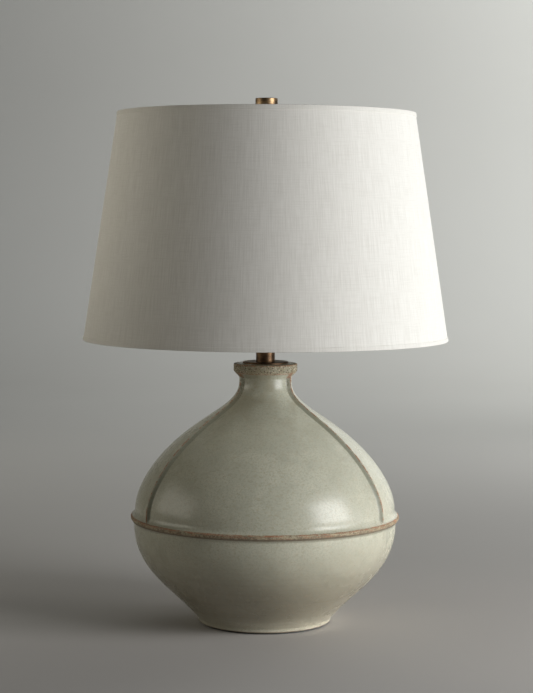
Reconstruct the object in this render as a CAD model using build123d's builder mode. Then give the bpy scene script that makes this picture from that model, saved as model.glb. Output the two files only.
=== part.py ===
from build123d import *
import os
from math import cos, radians, sin

# Ginger jar table lamp: a glazed stoneware jar on a felted foot, a bronze neck with socket,
# bulb and harp, and a linen shade on a recessed spider under a drum finial.
# Millimetres, +Z up, origin on the table under the jar's axis, front of the lamp towards -Y.

# ---- clearances ----
body_gap = 0.3  # between pieces that move past each other
running_fit = 0.05  # a spindle in its bore
thread_gap = 0.1  # between a pipe or stud and what is threaded on it
glue_line = 0.1  # between the shade's laminated layers
match = 0.01  # how closely an edge is picked by its size and height
cut_reach = 20.0  # how far a hole's cut starts outside the jar

# ---- jar ----
felt_thickness = 2.0
felt_inset = 2.5  # felt edge inside the foot's edge
jar_height = 289.0
foot_radius = 74.5
foot_height = 3.5  # upright edge under the bowl
foot_round = 5.0
foot_wall = 12.0
foot_recess = 15.0
floor_thickness = 7.0
floor_hole_radius = 6.5
bowl_radius = 146.4
bowl_rise = 105.0  # from the upright foot edge to the widest place
bowl_flare_out = 26.0  # how the bowl leaves the foot
bowl_flare_up = 32.5
bowl_fullness = 50.5  # how long it stays upright below the ring
wall = 6.5

ring_radius = 150.2
ring_edge = 3.0  # worn upright crest of the belly ring
ring_drop = 3.6  # undercut below the crest
ring_lift = 5.6  # crest above the bowl's widest place
ring_cove = 8.0  # height of the hollow curve above the crest
ring_round = 1.2

dome_radius = 145.2
dome_fullness = 37.5  # how long the dome stays upright above the ring
shoulder_radius = 92.0  # control point of the shoulder
shoulder_drop = 35.0  # that point below the neck's narrowest place
neck_sweep = 37.5  # how early the shoulder turns up into the neck
neck_radius = 29.3
mouth_radius = 22.0
neck_straight = 4.5
neck_round = 3.0
lip_radius = 35.8
lip_flare = 7.5  # height of the slope under the lip
lip_height = 8.0
lip_round = 1.6

rib_count = 3
rib_start_angle = 90.0  # first rib at the back
rib_proud = 3.6
rib_base = 8.4
rib_crest = 1.3
rib_root = 1.2  # depth of the rib's root in the wall
rib_hollow = 0.7  # height where the flanks are most hollow
rib_end = 2.5  # rib's top end below the lip's lower edge

outlet_height = 10.5  # cord hole's centre above the table
outlet_radius = 4.2
bushing_bore = 3.2
bushing_flange = 5.6
bushing_flange_depth = 1.6
bushing_barb = 1.2
bushing_seat = 3.0  # flange's seat inside the foot's edge

# ---- pipe and its hardware ----
pipe_radius = 5.15
pipe_bore = 3.2
pipe_tail = 1.6  # pipe end below the base nut
gasket_radius = 17.0
gasket_thickness = 1.5
washer_radius = 19.0
washer_thickness = 2.0
washer_chamfer = 0.5
lock_washer_radius = 9.0
lock_washer_thickness = 1.0
nut_flats = 16.0
nut_thickness = 4.0
plug_depth = 9.0
cap_radius = 25.5
cap_thickness = 2.0
cap_chamfer = 0.6
tube_radius = 10.55
tube_wall = 1.2
neck_tube_length = 43.5
check_ring_radius = 13.0
check_ring_thickness = 2.0

# ---- harp saddle, harp and sleeves ----
post_spread = 36.5  # post axis from the lamp's axis
saddle_thickness = 2.0
saddle_width = 13.0
saddle_end_width = 6.0
saddle_rise = 9.5  # shoulder that the sleeve stands on, above the saddle's underside
post_height = 14.0
wire_radius = 2.2
harp_height = 215.9
leg_straight = 42.0  # upright foot of each leg above the saddle's shoulder
bulge_width = 57.5
bulge_height = 88.0  # above the saddle's underside
flank_width = 54.0
flank_height = 161.5  # above the saddle's underside
crown_width = 26.0
leg_round = 30.0
bulge_round = 60.0
crown_round = 24.0
lap_clear = 1.0  # full leg starts this far above the post
sleeve_length = 17.5
sleeve_radius = 4.3
sleeve_top_radius = 3.5
sleeve_skirt = 4.4  # height of the wide end
sleeve_taper = 4.4
stud_head_radius = 5.0
stud_head_height = 8.6
stud_head_cover = 2.8  # metal between the wire and the seat
stud_radius = 3.17
stud_reach = 8.0  # stud above the spider's washer
stud_chamfer = 0.6

# ---- socket and switch ----
hub_radius = 7.5
hub_height = 7.5
pipe_in_hub = 6.0
socket_cap_radius = 18.0
socket_cap_dish = 6.0
core_seat = 12.0  # inner edge of the ledge that the core stands on
socket_cap_rim = 8.0
sheet_metal = 0.9
shell_wall = 0.6
shell_height = 42.0
shell_notch = 4.5
shell_bead = 1.3
liner_thickness = 0.5
liner_short = 4.0  # liner's end below the shell's mouth
core_radius = 13.9
core_height = 21.0
core_flat = 11.6
screw_shell_radius = 14.1
screw_shell_wall = 0.5
screw_shell_height = 21.0
contact_length = 6.0
contact_width = 4.0
contact_thickness = 0.6
contact_rise = 2.4
contact_gap = 5.0  # hole in the screw shell's floor round the contact
terminal_height = 9.0
terminal_head = 2.6
terminal_head_depth = 1.5
terminal_shank = 1.5
terminal_length = 5.0
set_screw_radius = 1.6
set_screw_head = 2.6
set_screw_height = 3.4
spindle_radius = 2.0
spindle_height = 11.0
spindle_start = 7.0
spindle_end = 34.0
knob_start = 20.0
knob_end = 37.0
knob_radius = 6.2
knob_tip_radius = 5.2
knob_flutes = 12
flute_radius = 0.9

# ---- bulb ----
bulb_cap_radius = 13.1
bulb_cap_wall = 0.4
bulb_cap_height = 19.5
bulb_taper = 4.0
bulb_eyelet_radius = 4.6
bulb_eyelet_height = 1.6
bulb_eyelet_chamfer = 0.8
bulb_length = 108.0
bulb_radius = 30.1
bulb_glass = 1.0
bulb_neck_radius = 12.4
bulb_neck_height = 34.0  # where the neck starts to swell, above the eyelet's face
bulb_neck_depth = 8.0  # neck inside the cap
bulb_swell = 14.0  # how long the neck stays upright
bulb_cheek = 22.0  # how long the widest part stays upright

# ---- shade ----
spider_washer_radius = 12.0
spider_washer_thickness = 1.6
spider_recess = 12.7
shade_bottom_radius = 203.2
shade_top_radius = 165.1
shade_height = 251.1
hem_thickness = 0.7
hem_height = 4.6
linen_thickness = 0.8
shade_liner_thickness = 0.4
ring_wire_radius = 1.4
spoke_count = 3
spoke_start_angle = 30.0
spoke_round = 6.0
weld = 0.5  # how far a spoke's end stops short of the ring wire's centre

# ---- finial ----
bush_radius = 6.0
bush_length = 10.5
finial_flange_radius = 9.5
finial_flange_height = 2.6
finial_waist_radius = 7.4
finial_drum_radius = 12.4
finial_drum_height = 12.0
finial_height = 28.7
finial_chamfer = 0.4

# ---- heights up the lamp's axis ----
foot_z = felt_thickness
recess_z = foot_z + foot_recess
floor_z = recess_z + floor_thickness
foot_top_z = foot_z + foot_height
belly_z = foot_top_z + bowl_rise
ring_z = belly_z + ring_lift + ring_drop
dome_z = ring_z + ring_edge / 2 + ring_cove
lip_z = foot_z + jar_height
lip_edge_z = lip_z - lip_height
flare_z = lip_edge_z - lip_flare
neck_z = flare_z - neck_straight
cap_z = lip_z + cap_thickness
check_ring_z = cap_z + neck_tube_length
saddle_z = check_ring_z + check_ring_thickness
saddle_top_z = saddle_z + saddle_thickness
hub_z = saddle_top_z + nut_thickness
shoulder_z = saddle_z + saddle_rise
seat_z = saddle_z + harp_height
spider_top_z = seat_z + spider_washer_thickness
shade_top_z = spider_top_z + spider_recess
shade_bottom_z = shade_top_z - shade_height
core_z = hub_z + hub_height + socket_cap_dish
shell_z = core_z
core_top_z = core_z + core_height
bulb_z = core_top_z + contact_thickness + contact_rise + body_gap
pipe_end_z = (
    recess_z - gasket_thickness - washer_thickness - lock_washer_thickness - nut_thickness - pipe_tail
)
pipe_top_z = hub_z + pipe_in_hub

os.makedirs("parts", exist_ok=True)


def rims(turned, radius, height):
    """The round edges of a turned piece at one radius and height."""
    circles = turned.edges().filter_by(GeomType.CIRCLE)
    level = circles.filter_by(lambda edge: abs(edge.center().Z - height) < match)
    return level.filter_by(lambda edge: abs(edge.radius - radius) < match)


# ================= base =================

with BuildPart() as felt_pad:
    with BuildSketch():
        Circle(foot_radius - felt_inset)
    extrude(amount=felt_thickness)
felt_pad.part.label = "felt_pad"
export_step(felt_pad.part, "parts/felt_pad.step")

# The jar is one fired piece: bowl, belly ring, dome, neck and lip are one turned wall, and
# the three ribs run up the dome's own curve from the ring to the lip.
dome_curve = [
    (dome_radius, dome_z),
    (dome_radius, dome_z + dome_fullness),
    (shoulder_radius, neck_z - shoulder_drop),
    (neck_radius, neck_z - neck_sweep),
    (neck_radius, neck_z),
]
bowl_curve = [
    (foot_radius, foot_top_z),
    (foot_radius + bowl_flare_out, foot_top_z + bowl_flare_up),
    (bowl_radius, belly_z - bowl_fullness),
    (bowl_radius, belly_z),
]
inner_shoulder = wall * cos(radians(45))

with BuildPart() as rib:
    with BuildLine(Plane.XZ) as rib_path:
        Line((dome_radius, ring_z), (dome_radius, dome_z))
        Bezier(*dome_curve)
        Line((neck_radius, neck_z), (neck_radius, lip_edge_z - rib_end))
    with BuildSketch(Plane(rib_path.line @ 0, x_dir=(0, 1, 0), z_dir=rib_path.line % 0)):
        with BuildLine():
            left = Bezier(
                (-rib_base / 2, rib_root),
                (-rib_crest, -rib_hollow),
                (-rib_crest / 2, -rib_proud),
            )
            right = Bezier(
                (rib_base / 2, rib_root),
                (rib_crest, -rib_hollow),
                (rib_crest / 2, -rib_proud),
            )
            Line(left @ 1, right @ 1)
            Line(left @ 0, right @ 0)
        make_face()
    sweep(path=rib_path.line)

with BuildPart() as jar_body:
    with BuildSketch(Plane.XZ):
        with BuildLine():
            Line((0, foot_z), (foot_radius, foot_z))
            Line((foot_radius, foot_z), (foot_radius, foot_top_z))
            Bezier(*bowl_curve)
            Line((bowl_radius, belly_z), (bowl_radius, belly_z + ring_lift / 2))
            Line((bowl_radius, belly_z + ring_lift / 2), (ring_radius, ring_z - ring_edge / 2))
            Line((ring_radius, ring_z - ring_edge / 2), (ring_radius, ring_z + ring_edge / 2))
            TangentArc((dome_radius, dome_z), (ring_radius, ring_z + ring_edge / 2), tangent=(0, -1))
            Bezier(*dome_curve)
            Line((neck_radius, neck_z), (neck_radius, flare_z))
            Line((neck_radius, flare_z), (lip_radius, lip_edge_z))
            Line((lip_radius, lip_edge_z), (lip_radius, lip_z))
            Line((lip_radius, lip_z), (0, lip_z))
            Line((0, lip_z), (0, foot_z))
        make_face()
    revolve(axis=Axis.Z)
    fillet(rims(jar_body, foot_radius, foot_top_z), foot_round)
    fillet(rims(jar_body, bowl_radius, belly_z + ring_lift / 2), ring_round)
    fillet(rims(jar_body, ring_radius, ring_z - ring_edge / 2), ring_round)
    fillet(rims(jar_body, ring_radius, ring_z + ring_edge / 2), ring_round)
    fillet(rims(jar_body, neck_radius, flare_z), neck_round)
    fillet(rims(jar_body, lip_radius, lip_edge_z), lip_round)
    fillet(rims(jar_body, lip_radius, lip_z), lip_round)
    with PolarLocations(0, rib_count, start_angle=rib_start_angle):
        add(rib.part)
    with BuildSketch(Plane.XZ):
        with BuildLine():
            Line((0, floor_z), (foot_radius, floor_z))
            Bezier(
                (foot_radius, floor_z),
                (foot_radius + bowl_flare_out, floor_z + bowl_flare_up - wall),
                (bowl_radius - wall, belly_z - bowl_fullness + wall),
                (bowl_radius - wall, belly_z),
            )
            Line((bowl_radius - wall, belly_z), (dome_radius - wall, dome_z))
            Bezier(
                (dome_radius - wall, dome_z),
                (dome_radius - wall, dome_z + dome_fullness),
                (shoulder_radius - inner_shoulder, neck_z - shoulder_drop - inner_shoulder),
                (mouth_radius, neck_z - neck_sweep),
                (mouth_radius, neck_z),
            )
            Line((mouth_radius, neck_z), (mouth_radius, lip_z))
            Line((mouth_radius, lip_z), (0, lip_z))
            Line((0, lip_z), (0, floor_z))
        make_face()
    revolve(axis=Axis.Z, mode=Mode.SUBTRACT)
    with BuildSketch(Plane.XY.offset(foot_z)):
        Circle(foot_radius - foot_wall)
    extrude(amount=foot_recess, mode=Mode.SUBTRACT)
    with BuildSketch(Plane.XY.offset(foot_z)):
        Circle(floor_hole_radius)
    extrude(amount=foot_recess + floor_thickness, mode=Mode.SUBTRACT)
    with BuildSketch(Plane.XZ.offset(-foot_radius - cut_reach)):
        with Locations((0, outlet_height)):
            Circle(outlet_radius)
    extrude(amount=cut_reach + foot_wall + bushing_barb, mode=Mode.SUBTRACT)
    with BuildSketch(Plane.XZ.offset(-foot_radius - cut_reach)):
        with Locations((0, outlet_height)):
            Circle(bushing_flange + thread_gap)
    extrude(amount=cut_reach + bushing_seat, mode=Mode.SUBTRACT)
jar_body.part.label = "jar_body"
export_step(jar_body.part, "parts/jar_body.step")

with BuildPart() as cord_bushing:
    bushing_axis = Axis((0, 0, outlet_height), (0, 1, 0))
    inner_face = foot_radius - foot_wall
    bushing_seat_y = foot_radius - bushing_seat
    with BuildSketch(Plane(origin=(0, 0, outlet_height), x_dir=(0, 1, 0), z_dir=(1, 0, 0))):
        with BuildLine():
            Polyline(
                (inner_face - bushing_barb, bushing_bore),
                (bushing_seat_y + bushing_flange_depth, bushing_bore),
                (bushing_seat_y + bushing_flange_depth, bushing_flange),
                (bushing_seat_y, bushing_flange),
                (bushing_seat_y, outlet_radius - thread_gap),
                (inner_face - bushing_barb, outlet_radius - thread_gap),
                close=True,
            )
        make_face()
    revolve(axis=bushing_axis)
cord_bushing.part.label = "cord_bushing"
export_step(cord_bushing.part, "parts/cord_bushing.step")


# ================= pipe and its hardware =================

# One threaded pipe runs from under the jar's floor to the socket and clamps the whole stack.
thread_bore = pipe_radius + thread_gap

with BuildPart() as lamp_pipe:
    with BuildSketch(Plane.XY.offset(pipe_end_z)):
        Circle(pipe_radius)
        Circle(pipe_bore, mode=Mode.SUBTRACT)
    extrude(amount=pipe_top_z - pipe_end_z)
lamp_pipe.part.label = "lamp_pipe"
export_step(lamp_pipe.part, "parts/lamp_pipe.step")

gasket_z = recess_z - gasket_thickness
with BuildPart() as base_gasket:
    with BuildSketch(Plane.XY.offset(gasket_z)):
        Circle(gasket_radius)
        Circle(thread_bore, mode=Mode.SUBTRACT)
    extrude(amount=gasket_thickness)
base_gasket.part.label = "base_gasket"
export_step(base_gasket.part, "parts/base_gasket.step")

washer_z = gasket_z - washer_thickness
with BuildPart() as base_washer:
    with BuildSketch(Plane.XY.offset(washer_z)):
        Circle(washer_radius)
        Circle(thread_bore, mode=Mode.SUBTRACT)
    extrude(amount=washer_thickness)
    chamfer(rims(base_washer, washer_radius, washer_z), washer_chamfer)
base_washer.part.label = "base_washer"
export_step(base_washer.part, "parts/base_washer.step")

lock_washer_z = washer_z - lock_washer_thickness
with BuildPart() as lock_washer:
    with BuildSketch(Plane.XY.offset(lock_washer_z)):
        Circle(lock_washer_radius)
        Circle(thread_bore, mode=Mode.SUBTRACT)
        with Locations((lock_washer_radius, 0)):
            Rectangle(lock_washer_radius * 2, lock_washer_thickness, mode=Mode.SUBTRACT)
    extrude(amount=lock_washer_thickness)
lock_washer.part.label = "lock_washer"
export_step(lock_washer.part, "parts/lock_washer.step")

base_nut_z = lock_washer_z - nut_thickness
with BuildPart() as pipe_nuts:
    for nut_z in (base_nut_z, saddle_top_z):
        with BuildSketch(Plane.XY.offset(nut_z)):
            RegularPolygon(nut_flats / 2, 6, major_radius=False)
            Circle(thread_bore, mode=Mode.SUBTRACT)
        extrude(amount=nut_thickness)
pipe_nuts.part.label = "pipe_nuts"
export_step(pipe_nuts.part, "parts/pipe_nuts.step")

with BuildPart() as mouth_plug:
    with BuildSketch(Plane.XY.offset(lip_z - plug_depth)):
        Circle(mouth_radius - body_gap)
        Circle(thread_bore, mode=Mode.SUBTRACT)
    extrude(amount=plug_depth)
mouth_plug.part.label = "mouth_plug"
export_step(mouth_plug.part, "parts/mouth_plug.step")

with BuildPart() as vase_cap:
    with BuildSketch(Plane.XY.offset(lip_z)):
        Circle(cap_radius)
        Circle(thread_bore, mode=Mode.SUBTRACT)
    extrude(amount=cap_thickness)
    chamfer(rims(vase_cap, cap_radius, cap_z), cap_chamfer)
vase_cap.part.label = "vase_cap"
export_step(vase_cap.part, "parts/vase_cap.step")

with BuildPart() as neck_tube:
    with BuildSketch(Plane.XY.offset(cap_z)):
        Circle(tube_radius)
        Circle(tube_radius - tube_wall, mode=Mode.SUBTRACT)
    extrude(amount=neck_tube_length)
neck_tube.part.label = "neck_tube"
export_step(neck_tube.part, "parts/neck_tube.step")

with BuildPart() as check_ring:
    with BuildSketch(Plane.XY.offset(check_ring_z)):
        Circle(check_ring_radius)
        Circle(thread_bore, mode=Mode.SUBTRACT)
    extrude(amount=check_ring_thickness)
    chamfer(rims(check_ring, check_ring_radius, check_ring_z), washer_chamfer)
    chamfer(rims(check_ring, check_ring_radius, saddle_z), washer_chamfer)
check_ring.part.label = "check_ring"
export_step(check_ring.part, "parts/check_ring.step")


# ================= harp saddle, harp and sleeves =================

# Post and leg are two halves of one round, side by side in the sleeve that locks them.
lap_face = post_spread - body_gap / 2
shoulder_inner = post_spread - wire_radius

with BuildPart() as harp_saddle:
    with BuildSketch(Plane.XY.offset(saddle_z)):
        with BuildLine():
            Polyline(
                (check_ring_radius, saddle_width / 2),
                (shoulder_inner, saddle_end_width / 2),
                (lap_face, saddle_end_width / 2),
                (lap_face, -saddle_end_width / 2),
                (shoulder_inner, -saddle_end_width / 2),
                (check_ring_radius, -saddle_width / 2),
                (-check_ring_radius, -saddle_width / 2),
                (-shoulder_inner, -saddle_end_width / 2),
                (-lap_face, -saddle_end_width / 2),
                (-lap_face, saddle_end_width / 2),
                (-shoulder_inner, saddle_end_width / 2),
                (-check_ring_radius, saddle_width / 2),
                close=True,
            )
        make_face()
        Circle(thread_bore, mode=Mode.SUBTRACT)
    extrude(amount=saddle_thickness)
    for side in (-1, 1):
        with BuildSketch(Plane.XY.offset(saddle_z)):
            with Locations((side * (shoulder_inner + lap_face) / 2, 0)):
                Rectangle(lap_face - shoulder_inner, saddle_end_width)
        extrude(amount=saddle_rise)
        with BuildSketch(Plane.XY.offset(shoulder_z)):
            with Locations((side * post_spread, 0)):
                Circle(wire_radius)
            with Locations((side * (lap_face + wire_radius), 0)):
                Rectangle(2 * wire_radius, 2 * wire_radius, mode=Mode.SUBTRACT)
        extrude(amount=post_height)
harp_saddle.part.label = "harp_saddle"
export_step(harp_saddle.part, "parts/harp_saddle.step")

leg_z = shoulder_z + body_gap
crown_z = seat_z - stud_head_cover - wire_radius
leg_bend_z = shoulder_z + leg_straight

with BuildPart() as harp_bow:
    with BuildLine(Plane.XZ) as bow_path:
        FilletPolyline(
            (-post_spread, leg_z),
            (-post_spread, leg_bend_z),
            (-bulge_width, saddle_z + bulge_height),
            (-flank_width, saddle_z + flank_height),
            (-crown_width, crown_z),
            (crown_width, crown_z),
            (flank_width, saddle_z + flank_height),
            (bulge_width, saddle_z + bulge_height),
            (post_spread, leg_bend_z),
            (post_spread, leg_z),
            radius=[leg_round, bulge_round, bulge_round, crown_round]
            + [crown_round, bulge_round, bulge_round, leg_round],
        )
    with BuildSketch(Plane(bow_path.line @ 0, z_dir=bow_path.line % 0)):
        Circle(wire_radius)
    sweep(path=bow_path.line)
    for side in (-1, 1):
        with BuildSketch(Plane.XY.offset(leg_z)):
            with Locations((side * (post_spread + body_gap / 2 - wire_radius), 0)):
                Rectangle(2 * wire_radius, 3 * wire_radius)
        extrude(amount=post_height + lap_clear, mode=Mode.SUBTRACT)
harp_bow.part.label = "harp_bow"
export_step(harp_bow.part, "parts/harp_bow.step")

with BuildPart() as harp_stud:
    with BuildSketch(Plane.XY.offset(seat_z - stud_head_height)):
        Circle(stud_head_radius)
    extrude(amount=stud_head_height)
    with BuildSketch(Plane.XY.offset(seat_z)):
        Circle(stud_radius)
    extrude(amount=spider_washer_thickness + stud_reach)
    chamfer(rims(harp_stud, stud_radius, spider_top_z + stud_reach), stud_chamfer)
    with BuildSketch(Plane.YZ):
        with Locations((0, crown_z)):
            Circle(wire_radius + running_fit)
    extrude(amount=stud_head_radius, both=True, mode=Mode.SUBTRACT)
harp_stud.part.label = "harp_stud"
export_step(harp_stud.part, "parts/harp_stud.step")

sleeve_bore = wire_radius + body_gap
for side, sleeve_name in ((-1, "harp_sleeve_left"), (1, "harp_sleeve_right")):
    sleeve_axis = Axis((side * post_spread, 0, 0), (0, 0, 1))
    with BuildPart() as harp_sleeve:
        with BuildSketch(Plane((side * post_spread, 0, leg_z), x_dir=(1, 0, 0), z_dir=(0, -1, 0))):
            with BuildLine():
                Polyline(
                    (sleeve_bore, 0),
                    (sleeve_radius, 0),
                    (sleeve_radius, sleeve_skirt),
                    (sleeve_top_radius, sleeve_skirt + sleeve_taper),
                    (sleeve_top_radius, sleeve_length),
                    (sleeve_bore, sleeve_length),
                    close=True,
                )
            make_face()
        revolve(axis=sleeve_axis)
    harp_sleeve.part.label = sleeve_name
    export_step(harp_sleeve.part, f"parts/{sleeve_name}.step")


# ================= socket and switch =================

cap_inner = socket_cap_radius - sheet_metal
shell_radius = cap_inner - thread_gap
liner_radius = shell_radius - shell_wall - thread_gap
spindle_z = core_z + spindle_height
hub_top_z = hub_z + hub_height

with BuildPart() as socket_cap:
    with BuildSketch(Plane.XZ):
        with BuildLine():
            Polyline(
                (thread_bore, hub_z),
                (hub_radius, hub_z),
                (hub_radius, hub_top_z),
                (socket_cap_radius, core_z - sheet_metal),
                (socket_cap_radius, core_z + socket_cap_rim),
                (cap_inner, core_z + socket_cap_rim),
                (cap_inner, core_z),
                (core_seat, core_z),
                (thread_bore, hub_top_z + sheet_metal),
                close=True,
            )
        make_face()
    revolve(axis=Axis.Z)
    with BuildSketch(Plane.XZ):
        with Locations((0, hub_z + set_screw_height)):
            Circle(set_screw_radius + running_fit)
    extrude(amount=-hub_radius, mode=Mode.SUBTRACT)
socket_cap.part.label = "socket_cap"
export_step(socket_cap.part, "parts/socket_cap.step")

with BuildPart() as cap_set_screw:
    with BuildSketch(Plane.XZ.offset(-pipe_radius)):
        with Locations((0, hub_z + set_screw_height)):
            Circle(set_screw_radius)
    extrude(amount=-(hub_radius - pipe_radius + set_screw_radius))
    with BuildSketch(Plane.XZ.offset(-hub_radius - thread_gap)):
        with Locations((0, hub_z + set_screw_height)):
            Circle(set_screw_head)
    extrude(amount=-set_screw_radius)
cap_set_screw.part.label = "cap_set_screw"
export_step(cap_set_screw.part, "parts/cap_set_screw.step")

with BuildPart() as socket_shell:
    shell_top_z = shell_z + shell_height
    with BuildSketch(Plane.XZ):
        with BuildLine():
            Polyline(
                (shell_radius - shell_wall, shell_z),
                (shell_radius, shell_z),
                (shell_radius, shell_top_z - 2 * shell_bead),
                (shell_radius + shell_bead, shell_top_z - shell_bead),
                (shell_radius + shell_bead, shell_top_z),
                (shell_radius + shell_bead - shell_wall, shell_top_z),
                (shell_radius - shell_wall, shell_top_z - 2 * shell_bead),
                close=True,
            )
        make_face()
    revolve(axis=Axis.Z)
    with BuildSketch(Plane.XZ):
        with Locations((0, spindle_z)):
            Circle(shell_notch)
        with Locations((0, (shell_z + spindle_z) / 2)):
            Rectangle(2 * shell_notch, spindle_z - shell_z)
    extrude(amount=shell_radius + shell_bead, mode=Mode.SUBTRACT)
socket_shell.part.label = "socket_shell"
export_step(socket_shell.part, "parts/socket_shell.step")

with BuildPart() as socket_liner:
    with BuildSketch(Plane.XY.offset(shell_z)):
        Circle(liner_radius)
        Circle(liner_radius - liner_thickness, mode=Mode.SUBTRACT)
    extrude(amount=shell_height - liner_short)
    with BuildSketch(Plane.XZ):
        with Locations((0, spindle_z)):
            Circle(shell_notch - shell_wall)
    extrude(amount=shell_radius, mode=Mode.SUBTRACT)
socket_liner.part.label = "socket_liner"
export_step(socket_liner.part, "parts/socket_liner.step")

with BuildPart() as socket_core:
    with BuildSketch(Plane.XY.offset(core_z)):
        Circle(core_radius)
    extrude(amount=core_height)
    for side in (-1, 1):
        flat_centre = side * (core_flat + core_radius) / 2
        with BuildSketch(Plane.XY.offset(core_z + terminal_height - 2 * terminal_head)):
            with Locations((flat_centre, 0)):
                Rectangle(core_radius - core_flat, 2 * core_radius)
        extrude(amount=4 * terminal_head, mode=Mode.SUBTRACT)
        with BuildSketch(Plane.YZ.offset(side * core_flat)):
            with Locations((0, core_z + terminal_height)):
                Circle(terminal_shank + running_fit)
        extrude(amount=-side * (terminal_length + running_fit), mode=Mode.SUBTRACT)
    with BuildSketch(Plane.XZ.offset(core_radius)):
        with Locations((0, spindle_z)):
            Circle(spindle_radius + running_fit)
    extrude(amount=spindle_start - core_radius - body_gap, mode=Mode.SUBTRACT)
socket_core.part.label = "socket_core"
export_step(socket_core.part, "parts/socket_core.step")

with BuildPart() as terminal_screws:
    for side in (-1, 1):
        with BuildSketch(Plane.YZ.offset(side * core_flat)):
            with Locations((0, core_z + terminal_height)):
                Circle(terminal_shank)
        extrude(amount=-side * terminal_length)
        with BuildSketch(Plane.YZ.offset(side * core_flat)):
            with Locations((0, core_z + terminal_height)):
                Circle(terminal_head)
        extrude(amount=side * terminal_head_depth)
terminal_screws.part.label = "terminal_screws"
export_step(terminal_screws.part, "parts/terminal_screws.step")

with BuildPart() as screw_shell:
    with BuildSketch(Plane.XY.offset(core_top_z)):
        Circle(screw_shell_radius)
        Circle(contact_gap, mode=Mode.SUBTRACT)
    extrude(amount=screw_shell_height)
    with BuildSketch(Plane.XY.offset(core_top_z + screw_shell_wall)):
        Circle(screw_shell_radius - screw_shell_wall)
    extrude(amount=screw_shell_height, mode=Mode.SUBTRACT)
screw_shell.part.label = "screw_shell"
export_step(screw_shell.part, "parts/screw_shell.step")

with BuildPart() as centre_contact:
    with BuildSketch(Plane.XZ):
        with BuildLine():
            half = contact_length / 2
            Polyline(
                (-half, core_top_z),
                (half, core_top_z),
                (half, core_top_z + contact_thickness),
                (-half / 2, core_top_z + contact_thickness),
                (half / 2, core_top_z + contact_rise),
                (half, core_top_z + contact_rise),
                (half, core_top_z + contact_rise + contact_thickness),
                (half / 3, core_top_z + contact_rise + contact_thickness),
                (-half, core_top_z + contact_thickness),
                close=True,
            )
        make_face()
    extrude(amount=contact_width / 2, both=True)
centre_contact.part.label = "centre_contact"
export_step(centre_contact.part, "parts/centre_contact.step")

with BuildPart() as switch_spindle:
    with BuildSketch(Plane.XZ.offset(spindle_start)):
        with Locations((0, spindle_z)):
            Circle(spindle_radius)
    extrude(amount=spindle_end - spindle_start)
switch_spindle.part.label = "switch_spindle"
export_step(switch_spindle.part, "parts/switch_spindle.step")

with BuildPart() as switch_knob:
    with BuildSketch(Plane(origin=(0, 0, spindle_z), x_dir=(0, -1, 0), z_dir=(-1, 0, 0))):
        with BuildLine():
            Polyline(
                (knob_start, spindle_radius + running_fit),
                (knob_start, knob_radius),
                (knob_end, knob_tip_radius),
                (knob_end, 0),
                (spindle_end + body_gap, 0),
                (spindle_end + body_gap, spindle_radius + running_fit),
                close=True,
            )
        make_face()
    revolve(axis=Axis((0, 0, spindle_z), (0, 1, 0)))
    with BuildSketch(Plane.XZ.offset(knob_start)):
        with Locations((0, spindle_z)):
            with PolarLocations(knob_radius, knob_flutes):
                Circle(flute_radius)
    extrude(amount=knob_end - knob_start, mode=Mode.SUBTRACT)
switch_knob.part.label = "switch_knob"
export_step(switch_knob.part, "parts/switch_knob.step")


# ================= bulb =================

insulator_z = bulb_z + bulb_eyelet_height
bulb_cap_z = insulator_z + bulb_taper
bulb_cap_top_z = bulb_cap_z + bulb_cap_height

with BuildPart() as bulb_eyelet:
    with BuildSketch(Plane.XY.offset(bulb_z)):
        Circle(bulb_eyelet_radius)
    extrude(amount=bulb_eyelet_height)
    chamfer(rims(bulb_eyelet, bulb_eyelet_radius, bulb_z), bulb_eyelet_chamfer)
bulb_eyelet.part.label = "bulb_eyelet"
export_step(bulb_eyelet.part, "parts/bulb_eyelet.step")

with BuildPart() as bulb_insulator:
    with BuildSketch(Plane.XY.offset(insulator_z)):
        Circle(bulb_eyelet_radius)
    with BuildSketch(Plane.XY.offset(bulb_cap_z)):
        Circle(bulb_cap_radius - bulb_cap_wall - running_fit)
    loft()
bulb_insulator.part.label = "bulb_insulator"
export_step(bulb_insulator.part, "parts/bulb_insulator.step")

with BuildPart() as bulb_cap:
    with BuildSketch(Plane.XY.offset(bulb_cap_z)):
        Circle(bulb_cap_radius)
        Circle(bulb_cap_radius - bulb_cap_wall, mode=Mode.SUBTRACT)
    extrude(amount=bulb_cap_height)
bulb_cap.part.label = "bulb_cap"
export_step(bulb_cap.part, "parts/bulb_cap.step")

globe_z = bulb_z + bulb_length - bulb_radius
swell_z = bulb_z + bulb_neck_height


def globe_face(skin):
    """Half of the globe's section, set in by skin."""
    with BuildSketch(Plane.XZ) as section:
        with BuildLine():
            neck = bulb_neck_radius - skin
            belly = bulb_radius - skin
            Line((0, bulb_cap_top_z - bulb_neck_depth), (neck, bulb_cap_top_z - bulb_neck_depth))
            Line((neck, bulb_cap_top_z - bulb_neck_depth), (neck, swell_z))
            Bezier(
                (neck, swell_z),
                (neck, swell_z + bulb_swell),
                (belly, globe_z - bulb_cheek),
                (belly, globe_z),
            )
            CenterArc((0, globe_z), belly, 0, 90)
            Line((0, globe_z + belly), (0, bulb_cap_top_z - bulb_neck_depth))
        make_face()
    return section.sketch


with BuildPart() as bulb_globe:
    add(globe_face(0))
    revolve(axis=Axis.Z)
    add(globe_face(bulb_glass))
    revolve(axis=Axis.Z, mode=Mode.SUBTRACT)
bulb_globe.part.label = "bulb_globe"
export_step(bulb_globe.part, "parts/bulb_globe.step")


# ================= shade =================

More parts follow.
